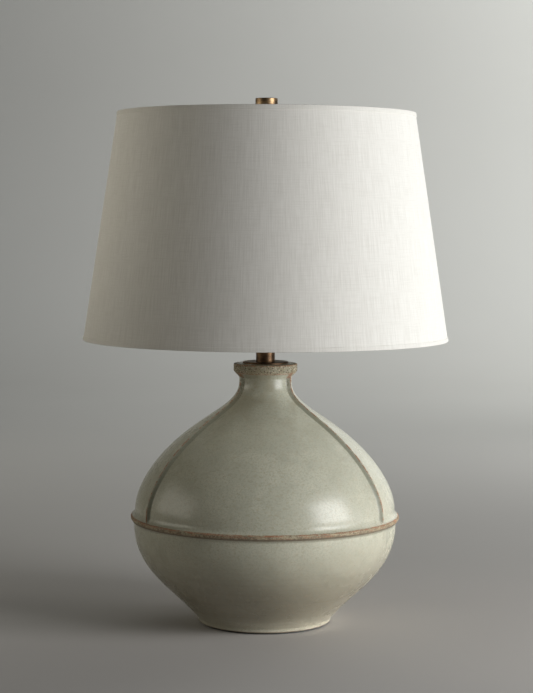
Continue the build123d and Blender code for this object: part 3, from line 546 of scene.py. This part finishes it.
class Section:
    """A turned piece's section, drawn as (radius, height) points."""

    def __init__(self, radius, height):
        self.points = [Vector((radius, height))]
        self.corners = []

    def line(self, radius, height, count=1):
        start, end = self.points[-1], Vector((radius, height))
        self.points += [start.lerp(end, step / count) for step in range(1, count + 1)]
        return self

    def curve(self, *handles, count):
        """A Bezier curve from here through its handles to the last of them."""
        controls = [self.points[-1], *(Vector(h) for h in handles)]
        for step in range(1, count + 1):
            level = controls
            while len(level) > 1:
                level = [a.lerp(b, step / count) for a, b in zip(level, level[1:])]
            self.points.append(level[0])
        return self

    def cove(self, radius, height, count):
        """A hollow arc from here to an end where it stands upright."""
        out = self.points[-1].x - radius
        drop = height - self.points[-1].y
        reach = (out * out + drop * drop) / (2 * out)
        swing = math.atan2(drop, reach - out)
        for step in range(1, count + 1):
            angle = swing * (1 - step / count)
            across, down = reach * (1 - math.cos(angle)), reach * math.sin(angle)
            self.points.append(Vector((radius + across, height - down)))
        return self

    def corner(self, radius):
        """The last point is a corner that gets this round."""
        self.corners.append((len(self.points) - 1, radius))
        return self

    def rounded(self, steps=5):
        """The points, with every corner bent round."""
        points = list(self.points)
        for index, radius in reversed(self.corners):
            here = points[index]
            turn = (here - points[index - 1]).angle(points[index + 1] - here)
            reach = radius * math.tan(turn / 2)
            low, high = index - 1, index + 1
            while low > 0 and (points[low] - here).length <= reach:
                low -= 1
            while high < len(points) - 1 and (points[high] - here).length <= reach:
                high += 1
            start = here + (points[low] - here).normalized() * reach
            end = here + (points[high] - here).normalized() * reach
            bend = [
                start.lerp(here, step / steps).lerp(here.lerp(end, step / steps), step / steps)
                for step in range(steps + 1)
            ]
            points[low + 1 : high] = bend
        return points


def mesh_piece(name, points, faces, finishes, sharp=45):
    """A smooth-shaded mesh object from its points and faces."""
    mesh = bpy.data.meshes.new(name)
    mesh.from_pydata(points, [], faces)
    mesh.shade_smooth()
    mesh.set_sharp_from_angle(angle=math.radians(sharp))
    for finish in finishes:
        mesh.materials.append(finish)
    piece = bpy.data.objects.new(name, mesh)
    bpy.context.collection.objects.link(piece)
    return piece


def turned_mesh(name, rows, columns, place, finishes, sharp=45, capped=False):
    """A closed mesh from rows of points that run round; place(row, column) gives each point.

    The last row joins the first, unless it is capped: then each of the two is one face.
    """
    points = [place(row, column) for row in range(rows) for column in range(columns)]
    faces = [tuple(reversed(range(columns)))] if capped else []
    for row in range(rows - 1 if capped else rows):
        low, high = row * columns, (row + 1) % rows * columns
        for column in range(columns):
            beside = (column + 1) % columns
            faces.append((low + column, low + beside, high + beside, high + column))
    if capped:
        faces.append(tuple(range((rows - 1) * columns, rows * columns)))
    return mesh_piece(name, points, faces, finishes, sharp)


def on_circle(radius, angle, height):
    """A point of the lamp at this distance and angle from its axis."""
    return (radius * math.cos(angle), radius * math.sin(angle), height)


def wander(angle, turns, height=0.0, seed=0.0):
    """Smooth noise from -1 to 1 that meets itself after a full turn."""
    return noise.noise(Vector((math.cos(angle) * turns, math.sin(angle) * turns, height + seed)))


# ---- the jar

RIB_COUNT = 3
RIB_TURN = math.tau / RIB_COUNT
RIB_START = math.radians(90)  # first rib at the back
RIB_STEPS = (0.5, 0.75, 1.0, 1.5, 2.1, 2.7, 3.3, 3.9, 4.3, 4.8, 6.2)  # columns beside a rib's middle, in mm
RIB_HOLLOW = 1.25  # how hollow the rib's flanks are
RIB_BLEND = 0.8 * MM  # how far a rib's edge is blended into the wall that buries it
PANEL_COLUMNS = 44  # columns on the panel between two ribs
SMALL_RADIUS = 30 * MM  # inside this, a rib's columns keep their angles
BOWL_OUT, BOWL_UP = 26 * MM, 32.5 * MM  # handle of the bowl's curve at the foot, from its corner
BOWL_SWELL = 50.5 * MM  # upright handle of the bowl's curve under its widest place
DOME_SWELL = 37.5 * MM  # upright handles of the dome's curve, above the ring and under the neck
SHOULDER_RADIUS, SHOULDER_DROP = 92 * MM, 35 * MM  # the handle between them, below the neck
RECESS_ROUND, FOOT_IN_ROUND, FOOT_OUT_ROUND = 1 * MM, 0.8 * MM, 0.6 * MM
FLARE_ROUND, MOUTH_ROUND = 3 * MM, 1.2 * MM
FLOOR_ROWS = 9  # rows of the section under the jar's floor, the last in its corner
WAVER = 0.10 * MM  # how far the potter's hand wavered
CHIP_SCALE = 420  # how fine the chips are


def jar_levels(jar):
    """The jar's heights, from its settings and the frame."""
    level = SimpleNamespace(foot=JAR_LOW.z, lip=JAR_HIGH.z, ring_radius=JAR_HIGH.x)
    level.recess = level.foot + jar.foot_recess
    level.floor = level.recess + jar.floor_thickness
    level.foot_top = level.foot + jar.foot_height
    level.belly = level.foot_top + jar.bowl_rise
    level.ring_low = level.belly + jar.ring_rise - jar.ring_edge / 2
    level.ring_high = level.ring_low + jar.ring_edge
    level.dome = level.ring_high + jar.ring_cove
    level.lip_edge = level.lip - jar.lip_height
    level.flare = level.lip_edge - jar.lip_flare
    level.neck = level.flare - jar.neck_height
    return level


def jar_section(jar, level):
    """The jar's wall in section: out under the foot, up the outside, over the lip and down inside."""
    slope = jar.wall * math.cos(math.radians(45))
    section = Section(jar.floor_hole, level.recess)
    section.line(jar.foot_radius - jar.foot_wall, level.recess, 4).corner(RECESS_ROUND)
    section.line(jar.foot_radius - jar.foot_wall, level.foot, 4).corner(FOOT_IN_ROUND)
    section.line(jar.foot_radius, level.foot, 4).corner(FOOT_OUT_ROUND)
    section.line(jar.foot_radius, level.foot_top, 3).corner(jar.foot_round)
    section.curve(
        (jar.foot_radius + BOWL_OUT, level.foot_top + BOWL_UP),
        (jar.bowl_radius, level.belly - BOWL_SWELL),
        (jar.bowl_radius, level.belly),
        count=84,
    )
    section.line(jar.bowl_radius, level.belly + jar.ring_start, 3).corner(jar.ring_round)
    section.line(level.ring_radius, level.ring_low, 6).corner(jar.ring_round)
    section.line(level.ring_radius, level.ring_high, 4).corner(jar.ring_round)
    section.cove(jar.dome_radius, level.dome, 14)
    section.curve(
        (jar.dome_radius, level.dome + DOME_SWELL),
        (SHOULDER_RADIUS, level.neck - SHOULDER_DROP),
        (jar.neck_radius, level.neck - DOME_SWELL),
        (jar.neck_radius, level.neck),
        count=130,
    )
    section.line(jar.neck_radius, level.flare, 5).corner(FLARE_ROUND)
    section.line(jar.lip_radius, level.lip_edge, 12).corner(jar.lip_round)
    section.line(jar.lip_radius, level.lip, 8).corner(jar.lip_round)
    section.line(jar.mouth_radius, level.lip, 6).corner(MOUTH_ROUND)
    section.line(jar.mouth_radius, level.neck, 8)
    section.curve(
        (jar.mouth_radius, level.neck - DOME_SWELL),
        (SHOULDER_RADIUS - slope, level.neck - SHOULDER_DROP - slope),
        (jar.dome_radius - jar.wall, level.dome + DOME_SWELL),
        (jar.dome_radius - jar.wall, level.dome),
        count=40,
    )
    section.line(jar.bowl_radius - jar.wall, level.belly, 4)
    section.curve(
        (jar.bowl_radius - jar.wall, level.belly - BOWL_SWELL + jar.wall),
        (jar.foot_radius + BOWL_OUT, level.floor + BOWL_UP - jar.wall),
        (jar.foot_radius, level.floor),
        count=28,
    )
    section.line(jar.floor_hole, level.floor, 4)
    return section.rounded()


def rib_relief(jar, beside, buried):
    """How far a rib stands off the wall, beside its middle and where the wall buries it."""
    if beside >= jar.rib_spread:
        return 0.0
    flank = max(0.0, beside - jar.rib_crest) / (jar.rib_spread - jar.rib_crest)
    proud = jar.rib_proud * (1 - flank) ** RIB_HOLLOW
    over = proud - buried
    blend = min(RIB_BLEND, buried)
    if over >= blend:
        return over
    if over <= -blend:
        return 0.0
    return (over + blend) ** 2 / (4 * blend)


def jar_columns():
    """Each column as (rib's number, distance beside it, share of the panel after it)."""
    steps = [step * MM for step in RIB_STEPS]
    columns = []
    for rib in range(RIB_COUNT):
        beside = [-step for step in reversed(steps)] + [0.0] + steps
        columns += [(rib, step, None) for step in beside]
        columns += [(rib, steps[-1], part / PANEL_COLUMNS) for part in range(1, PANEL_COLUMNS)]
    return columns


def jar_wear(jar, level, radius, height, angle):
    """How far the clay is worn back at its edges, with the potter's slight waver all over."""
    waver = WAVER * wander(angle, 2.0, height * 22)
    at_ring = level.ring_low - 1 * MM < height < level.ring_high + 1 * MM
    on_ring = at_ring and radius > jar.bowl_radius + 2 * MM
    on_lip = height > level.lip_edge - 1 * MM and radius > jar.lip_radius - 2 * MM
    on_foot = height < level.foot + 1.5 * MM and radius > jar.foot_radius - 1 * MM
    if not (on_ring or on_lip or on_foot):
        return waver
    chips = 0.5 + 0.5 * noise.noise(Vector(on_circle(radius, angle, height)) * CHIP_SCALE)
    return waver - jar.wear * chips * (2.0 if on_lip else 1.0)


def build_jar(jar):
    """The whole jar as one closed mesh, ribs and all."""
    level = jar_levels(jar)
    section = jar_section(jar, level)
    columns = jar_columns()
    widest = RIB_STEPS[-1] * MM

    def outward(row):
        along = section[(row + 1) % len(section)] - section[row - 1]
        return Vector((along.y, -along.x)).normalized()

    def place(row, column):
        radius, height = section[row]
        rib, beside, part = columns[column]
        span = max(radius, SMALL_RADIUS)
        angle = RIB_START + rib * RIB_TURN + math.asin(beside / span)
        if part is not None:
            angle += part * (RIB_TURN - 2 * math.asin(widest / span))
        away = outward(row)
        stands = 0.0
        glazed = away.x > 0 and height > level.foot
        if glazed and level.ring_high <= height <= level.lip_edge and part is None:
            buried = 0.0
            if height < level.dome:
                buried = radius - jar.dome_radius
            if height > level.neck:
                buried = radius - jar.neck_radius
            if buried > 0:
                away = Vector((1.0, 0.0))
            stands = rib_relief(jar, abs(beside), buried)
            worn = 0.5 + 0.5 * noise.noise(Vector((rib * 9.0, 0, height * 300)))
            stands -= min(stands, jar.wear * worn)
        if glazed:
            stands += jar_wear(jar, level, radius, height, angle)
        return on_circle(radius + away.x * stands, angle, height + away.y * stands)

    finishes = [glaze_finish(jar, level), clay_finish(jar)]
    piece = turned_mesh("jar", len(section), len(columns), place, finishes)
    mouth_edge = level.lip - MOUTH_ROUND - 0.1 * MM
    mouth = max(row for row, point in enumerate(section) if point.y > mouth_edge)
    for face in piece.data.polygons:
        row = face.index // len(columns)
        standing = section[row].y < level.foot + 0.1 * MM
        face.material_index = int(row > mouth or standing or row < FLOOR_ROWS)
    return piece


def cut_outlet(piece, jar):
    """Cuts the cord hole and the bushing's seat at the back of the foot."""
    inside = jar.foot_radius - jar.foot_wall - 3 * MM
    seat = jar.foot_radius - jar.outlet_depth
    outside = jar.foot_radius + 20 * MM
    hole = [(inside, jar.outlet_radius), (seat, jar.outlet_radius)]
    steps = [*hole, (seat, jar.outlet_seat), (outside, jar.outlet_seat)]
    sides = 32

    def place(row, column):
        depth, radius = steps[row]
        angle = -math.tau * column / sides
        return (radius * math.cos(angle), depth, jar.outlet_height + radius * math.sin(angle))

    cutter = turned_mesh("outlet_cutter", len(steps), sides, place, [], capped=True)
    cut = piece.modifiers.new("outlet", "BOOLEAN")
    cut.operation = "DIFFERENCE"
    cut.solver = "EXACT"
    cut.object = cutter
    bpy.context.view_layer.update()
    worked = piece.evaluated_get(bpy.context.evaluated_depsgraph_get())
    finished = bpy.data.meshes.new_from_object(worked)
    piece.modifiers.clear()
    piece.data = finished
    finished.name = "jar"
    bpy.data.objects.remove(cutter)


class LAMP_OT_jar(bpy.types.Operator):
    """Throw, rib and glaze the jar"""

    bl_idname = "lamp.jar"
    bl_label = "Jar"

    def execute(self, context):
        jar = context.scene.lamp_jar
        piece = build_jar(jar)
        cut_outlet(piece, jar)
        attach(piece, "root")
        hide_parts("jar_body")
        return {"FINISHED"}


# ---- felt under the foot


class LAMP_OT_felt(bpy.types.Operator):
    """Lay the felt pad under the foot"""

    bl_idname = "lamp.felt"
    bl_label = "Felt pad"

    def execute(self, context):
        shade = context.scene.lamp_shade
        edge = FELT_HIGH.x
        middle = 6 * MM  # radius of the one flat face in the middle
        soft = 0.7 * MM
        columns = 144
        section = Section(middle, FELT_LOW.z).line(edge, FELT_LOW.z, 10).corner(soft)
        section.line(edge, FELT_HIGH.z, 3).corner(soft)
        rows = section.line(middle, FELT_HIGH.z, 10).rounded(3)

        def place(row, column):
            angle = math.tau * column / columns
            radius, height = rows[row]
            if radius > edge - 1.5 * MM:
                radius -= 0.25 * MM * (0.5 + 0.5 * wander(angle, 14.0, height * 900))
            return on_circle(radius, angle, height)

        finishes = [felt_finish(shade)]
        piece = turned_mesh("felt", len(rows), columns, place, finishes, capped=True)
        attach(piece, "root")
        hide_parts("felt_pad")
        return {"FINISHED"}


# ---- the linen shade

SEAM = math.radians(90)  # the panel's lap at the back
SHADE_COLUMNS = 240
SHADE_LEAN = (SHADE_WIDE.x - SHADE_HIGH.x) / (SHADE_NARROW.z - SHADE_LOW.z)
SHADE_HEIGHT = SHADE_HIGH.z - SHADE_LOW.z
SLACK = 0.06 * MM  # how far the cloth's face wavers
HEM_WAVER = 0.28 * MM  # how far a hem's edge wavers up and down
HEM_ROUND, EDGE_ROUND = 0.8 * MM, 0.25 * MM  # of the fold over the rim, and of the strip's edge


def wall_point(depth, height):
    """A (radius, height) point inside the shade's sloping face, from its lower rim up."""
    return (SHADE_WIDE.x - SHADE_LEAN * height - depth, SHADE_LOW.z + height)


def shade_angles(shade):
    """Angles round the shade, with five more over the lap and its slope."""
    even = [SEAM + math.tau * step / SHADE_COLUMNS for step in range(SHADE_COLUMNS)]
    edge = [SEAM + share * shade.lap_width / SHADE_WIDE.x for share in (0.02, 0.5, 0.98, 1.3, 1.7)]
    return sorted(even + edge)


def lap(shade, angle):
    """How far the cloth stands proud where one end of the panel lies over the other."""
    along = ((angle - SEAM) % math.tau) * SHADE_WIDE.x / shade.lap_width
    if along < 0.01 or along > 2.0:
        return 0.0
    return shade.lap_rise if along < 1.0 else shade.lap_rise * (2.0 - along)


def build_linen(shade):
    """The panel: one thin closed sheet round the shade."""
    rows = 48
    thick = shade.linen_thickness
    low, high = shade.linen_depth, SHADE_HEIGHT - shade.linen_depth
    section = Section(*wall_point(low, low)).line(*wall_point(low, high), rows)
    section.line(*wall_point(low + thick, high)).line(*wall_point(low + thick, low), rows)
    angles = shade_angles(shade)

    def place(row, column):
        radius, height = section.points[row]
        angle = angles[column]
        outer = row <= rows
        slack = SLACK * wander(angle, 9.0, height * 30) if outer else 0.0
        return on_circle(radius + lap(shade, angle) * outer + slack, angle, height)

    finish = linen_finish("linen", shade, 0.0)
    return turned_mesh("linen", len(section.points), len(angles), place, [finish], 30)


def build_hem(shade, name, rim, inwards, finish):
    """A strip of the same cloth folded over a rim, the panel's edge and the wire."""
    thin, deep = shade.hem_thickness, shade.hem_depth
    fold, edge = rim + inwards * thin, rim + inwards * shade.hem_height
    section = Section(*wall_point(deep / 2, rim)).line(*wall_point(0, rim), 3).corner(HEM_ROUND)
    section.line(*wall_point(0, edge), 6).corner(EDGE_ROUND)
    section.line(*wall_point(thin, edge)).line(*wall_point(thin, fold), 3)
    section.line(*wall_point(deep - thin, fold), 3).line(*wall_point(deep - thin, edge), 3)
    section.line(*wall_point(deep, edge)).corner(EDGE_ROUND)
    section.line(*wall_point(deep, rim), 3).corner(HEM_ROUND).line(*wall_point(deep * 0.7, rim))
    points = section.rounded(3)
    if inwards > 0:
        points.reverse()
    angles = shade_angles(shade)

    def place(row, column):
        radius, height = points[row]
        angle = angles[column]
        depth = wall_point(0, height - SHADE_LOW.z)[0] - radius
        outer = depth < deep / 2
        at_edge = max(0.0, abs(height - SHADE_LOW.z - rim) / shade.hem_height - 0.6) / 0.4
        waver = inwards * HEM_WAVER * wander(angle, 11.0, 0.0, rim * 40) * at_edge
        bulge = SLACK * wander(angle, 16.0, height * 80) if outer else 0.0
        return on_circle(radius + lap(shade, angle) * outer + bulge, angle, height + waver)

    return turned_mesh(name, len(points), len(angles), place, [finish], 40)


class LAMP_OT_shade(bpy.types.Operator):
    """Stretch the linen and fold its hems over the rims"""

    bl_idname = "lamp.shade"
    bl_label = "Linen shade"

    def execute(self, context):
        shade = context.scene.lamp_shade
        linen = build_linen(shade)
        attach(linen, "shade")
        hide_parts("shade_linen")
        # The hems' linen is painted darker: painted shade for the light that shines less through the folded
        # cloth.
        hem_linen = linen_finish("linen_hem", shade, 0.10)
        low = build_hem(shade, "hem_low", 0.0, 1, hem_linen)
        high = build_hem(shade, "hem_high", SHADE_HEIGHT, -1, hem_linen)
        for piece, node in ((low, "bottom_hem"), (high, "top_hem")):
            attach(piece, "shade")
            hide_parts(node)
        wide, narrow = SHADE_WIDE.x, SHADE_WIDE.x - SHADE_LEAN * SHADE_HEIGHT
        slant = math.hypot(SHADE_HEIGHT, wide - narrow)
        outer = wide * slant / (wide - narrow)
        half_turn = math.pi * wide / outer
        flat = (2 * outer * math.sin(half_turn), outer - (outer - slant) * math.cos(half_turn))
        area = math.pi * (wide + narrow) * (slant - 2 * shade.linen_depth)
        return {"FINISHED"}


# ---- the bulb's screw cap


class LAMP_OT_bulb_cap(bpy.types.Operator):
    """Roll the thread into the bulb's screw cap"""

    bl_idname = "lamp.bulb_cap"
    bl_label = "Bulb cap"

    def execute(self, context):
        metal = context.scene.lamp_metal
        outer, inner = THREAD_HIGH.x, THREAD_HIGH.x - metal.cap_wall
        collar = THREAD_HIGH.z - metal.thread_collar
        rows, columns = 60, 64
        section = Section(outer, THREAD_LOW.z).line(outer, THREAD_HIGH.z, rows)
        section.line(inner, THREAD_HIGH.z).line(inner, THREAD_LOW.z, rows)

        def place(row, column):
            radius, height = section.points[row]
            angle = math.tau * column / columns
            fade = min(1.0, max(0.0, (collar - height) / (1.2 * MM)))
            fade = min(fade, max(0.0, (height - THREAD_LOW.z) / (1 * MM)))
            wave = 0.5 + 0.5 * math.cos(math.tau * (height - collar) / metal.thread_pitch - angle)
            return on_circle(radius - metal.thread_depth * wave * fade, angle, height)

        finish = plated_finish("bulb_cap_metal", metal, metal.zinc, 500.0, 0.26)
        piece = turned_mesh("bulb_screw_cap", len(section.points), columns, place, [finish], 50)
        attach(piece, "bulb_base")
        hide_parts("bulb_cap")
        return {"FINISHED"}


# ---- finishes of the carried-over pieces


class LAMP_OT_bronze(bpy.types.Operator):
    """Patinate the bronze neck, harp, spider and finial"""

    bl_idname = "lamp.bronze"
    bl_label = "Bronze pieces"

    def execute(self, context):
        metal = context.scene.lamp_metal
        handled = bronze_finish("handled_bronze", metal, 0.55, (1.0, 1.0, 3.0), metal.polished)
        dress("bronze", handled, ("finial_knob", "finial_bush"))
        dress("bronze", bronze_finish("turned_bronze", metal, 0.30, (1.0, 1.0, 5.0)))
        dress("bronze_harp", bronze_finish("harp_bronze", metal, 0.28, (1.0, 1.0, 8.0)))
        dress("bronze_wire", bronze_finish("wire_bronze", metal, 0.22, (4.0, 4.0, 4.0)))
        return {"FINISHED"}


class LAMP_OT_fittings(bpy.types.Operator):
    """Finish the pipe, its nuts and washers, the rubber and the bushing"""

    bl_idname = "lamp.fittings"
    bl_label = "Pipe and fittings"

    def execute(self, context):
        metal = context.scene.lamp_metal
        dress("zinc_steel", plated_finish("zinc", metal, metal.zinc, 300.0, 0.34))
        dress("brass_nut", plated_finish("nut_brass", metal, metal.brass, 380.0, 0.28))
        rubber = moulded_finish("rubber", (0.018, 0.018, 0.018), (0.05, 0.05, 0.05), 0.70, 900.0)
        dress("black_rubber", rubber)
        dress("brown_plastic", moulded_finish("bushing", (0.055, 0.032, 0.02), (0.10, 0.06, 0.04), 0.42))
        return {"FINISHED"}


class LAMP_OT_socket(bpy.types.Operator):
    """Finish the socket, its core and the switch"""

    bl_idname = "lamp.socket"
    bl_label = "Socket and switch"

    def execute(self, context):
        metal = context.scene.lamp_metal
        dress("socket_brass", bronze_finish("socket_brass_aged", metal, 0.75, (1.0, 1.0, 14.0)))
        dress("fibre_card", moulded_finish("card", (0.30, 0.21, 0.12), (0.42, 0.32, 0.20), 0.85, 380.0))
        black, worn = (0.02, 0.016, 0.014), (0.05, 0.04, 0.035)
        dress("phenolic", moulded_finish("phenolic_black", black, worn, 0.32, 620.0, 0.3))
        dress("screw_metal", plated_finish("shell_metal", metal, metal.brass, 420.0, 0.30))
        return {"FINISHED"}


class LAMP_OT_bulb(bpy.types.Operator):
    """Finish the bulb's glass and its insulator"""

    bl_idname = "lamp.bulb"
    bl_label = "Bulb"

    def execute(self, context):
        dress("frosted_glass", glass_finish("frosted", (0.86, 0.86, 0.84), (0.78, 0.78, 0.74), 0.34))
        dress("black_glass", glass_finish("insulator", (0.012, 0.012, 0.016), (0.03, 0.03, 0.035), 0.12))
        return {"FINISHED"}


class LAMP_OT_lining(bpy.types.Operator):
    """Finish the shade's styrene lining"""

    bl_idname = "lamp.lining"
    bl_label = "Shade lining"

    def execute(self, context):
        shade = context.scene.lamp_shade
        pale = [part * 0.9 for part in shade.lining]
        dress("shade_styrene", moulded_finish("styrene", shade.lining, pale, 0.50, 240.0))
        return {"FINISHED"}


# ---- the studio


LAMP_AIM = (0.0, 0.0, 0.28)
SHADE_AIM = (0.0, 0.0, 0.50)
BOWL_AIM = (0.0, 0.0, -0.03)
WALL_AIM = (1.9, 3.9, 1.5)


def soft_light(name, watts, turn, height, distance, size, tint, glints=False, aim=LAMP_AIM, beam=180):
    """A rectangular light of this width and height, with or without glints of its own.

    Its turn is in degrees from the front towards the right, and its beam is as many degrees wide.
    """
    lamp = bpy.data.lights.new(name, "AREA")
    lamp.shape = "RECTANGLE"
    lamp.size, lamp.size_y = size
    lamp.energy = watts
    lamp.color = tint
    lamp.spread = math.radians(beam)
    light = bpy.data.objects.new(name, lamp)
    light.location = on_circle(distance, math.radians(turn - 90), height)
    light.visible_glossy = glints
    light.rotation_euler = (Vector(aim) - light.location).to_track_quat("-Z", "Y").to_euler()
    bpy.context.collection.objects.link(light)


def floor_and_backdrop(studio):
    """A pale sweep: a level floor that turns up into a wall far behind the lamp."""
    finish = Finish("studio_sweep")
    paper = finish.cloud(3.0, 2.0)
    dark = [part * 0.96 for part in studio.floor]
    material = finish.surface(finish.mix(paper, studio.floor, dark), 0.9)
    front, bend, wall, top, half = -5.0, 2.9, 3.9, 5.0, 6.0
    section = Section(front, 0.0).line(bend, 0.0, 8)
    section.curve((wall, 0.0), (wall, wall - bend), count=16).line(wall, top, 4)
    points = [(side * half, along, height) for along, height in section.points for side in (-1, 1)]
    faces = [(2 * i, 2 * i + 1, 2 * i + 3, 2 * i + 2) for i in range(len(section.points) - 1)]
    sweep = mesh_piece("sweep", points, faces, [material])


class LAMP_OT_studio(bpy.types.Operator):
    """Set up the floor, the lights and the camera"""

    bl_idname = "lamp.studio"
    bl_label = "Studio"

    def execute(self, context):
        studio = context.scene.lamp_studio
        floor_and_backdrop(studio)
        warm, rosy = (1.0, 0.965, 0.85), (1.0, 0.88, 0.82)
        grey, cool, sky = (0.93, 0.99, 1.0), (0.97, 0.985, 1.0), (0.86, 0.93, 1.0)
        wall, shade_fill, bowl = studio.wall, studio.shade_fill, studio.bowl_light
        soft_light("window", studio.window, 59.5, 0.60, 1.7, (0.98, 1.15), cool, glints=True)
        soft_light("key", studio.key, 88, 0.20, 1.6, (0.90, 0.40), sky)
        soft_light("rim", studio.rim, 138, 0.62, 1.7, (0.90, 1.10), cool)
        soft_light("fill", studio.fill, -86, 0.68, 1.8, (1.40, 0.90), warm, glints=True)
        soft_light("back_fill", studio.fill * 0.2, -140, 0.70, 1.8, (0.90, 0.60), warm)
        soft_light("wall_light", wall, 125, 2.3, 3.2, (1.8, 0.80), grey, aim=WALL_AIM)
        soft_light("shade_fill", shade_fill, -88, 0.62, 1.2, (0.4, 0.3), warm, aim=SHADE_AIM, beam=40)
        soft_light("bowl_light", bowl, 85, 0.10, 1.1, (0.5, 0.12), rosy, aim=BOWL_AIM, beam=28)
        world = bpy.data.worlds.new("room")
        world.use_nodes = True
        air = world.node_tree.nodes["Background"]
        air.inputs["Color"].default_value = (1.0, 0.985, 0.95, 1.0)
        air.inputs["Strength"].default_value = studio.room
        context.scene.world = world
        context.scene.view_settings.view_transform = "Standard"
        lens = bpy.data.cameras.new("camera")
        lens.lens = studio.lens
        lens.sensor_width = 36.0
        camera = bpy.data.objects.new("camera", lens)
        camera.location = (studio.camera_side, -studio.camera_distance, studio.camera_height)
        camera.rotation_euler = (math.pi / 2 - studio.camera_pitch, -studio.camera_roll, 0.0)
        context.collection.objects.link(camera)
        context.scene.camera = camera
        return {"FINISHED"}


# ---- the add-on

SETTINGS = {
    "lamp_jar": JarSettings,
    "lamp_shade": ShadeSettings,
    "lamp_metal": MetalSettings,
    "lamp_studio": StudioSettings,
}
STEPS = (
    LAMP_OT_studio,
    LAMP_OT_jar,
    LAMP_OT_felt,
    LAMP_OT_shade,
    LAMP_OT_bulb_cap,
    LAMP_OT_bronze,
    LAMP_OT_fittings,
    LAMP_OT_socket,
    LAMP_OT_bulb,
    LAMP_OT_lining,
)


class LAMP_PT_panel(bpy.types.Panel):
    """The lamp's pieces and settings in the sidebar"""

    bl_idname = "LAMP_PT_panel"
    bl_label = "Ginger Jar Lamp"
    bl_space_type = "VIEW_3D"
    bl_region_type = "UI"
    bl_category = "Lamp"

    def draw(self, context):
        for step in STEPS:
            self.layout.operator(step.bl_idname)
        for name, group in SETTINGS.items():
            box = self.layout.box()
            for setting in group.__annotations__:
                box.prop(getattr(context.scene, name), setting)


def register():
    for kind in (*SETTINGS.values(), *STEPS, LAMP_PT_panel):
        bpy.utils.register_class(kind)
    for name, group in SETTINGS.items():
        setattr(bpy.types.Scene, name, PointerProperty(type=group))


def unregister():
    for name in SETTINGS:
        delattr(bpy.types.Scene, name)
    for kind in (LAMP_PT_panel, *reversed(STEPS), *reversed(SETTINGS.values())):
        bpy.utils.unregister_class(kind)


def main():
    """Builds the whole lamp."""
    register()
    bpy.ops.lamp.studio()
    bpy.ops.lamp.jar()
    bpy.ops.lamp.felt()
    bpy.ops.lamp.shade()
    bpy.ops.lamp.bulb_cap()
    bpy.ops.lamp.bronze()
    bpy.ops.lamp.fittings()
    bpy.ops.lamp.socket()
    bpy.ops.lamp.bulb()
    bpy.ops.lamp.lining()


if __name__ == "__main__":
    main()
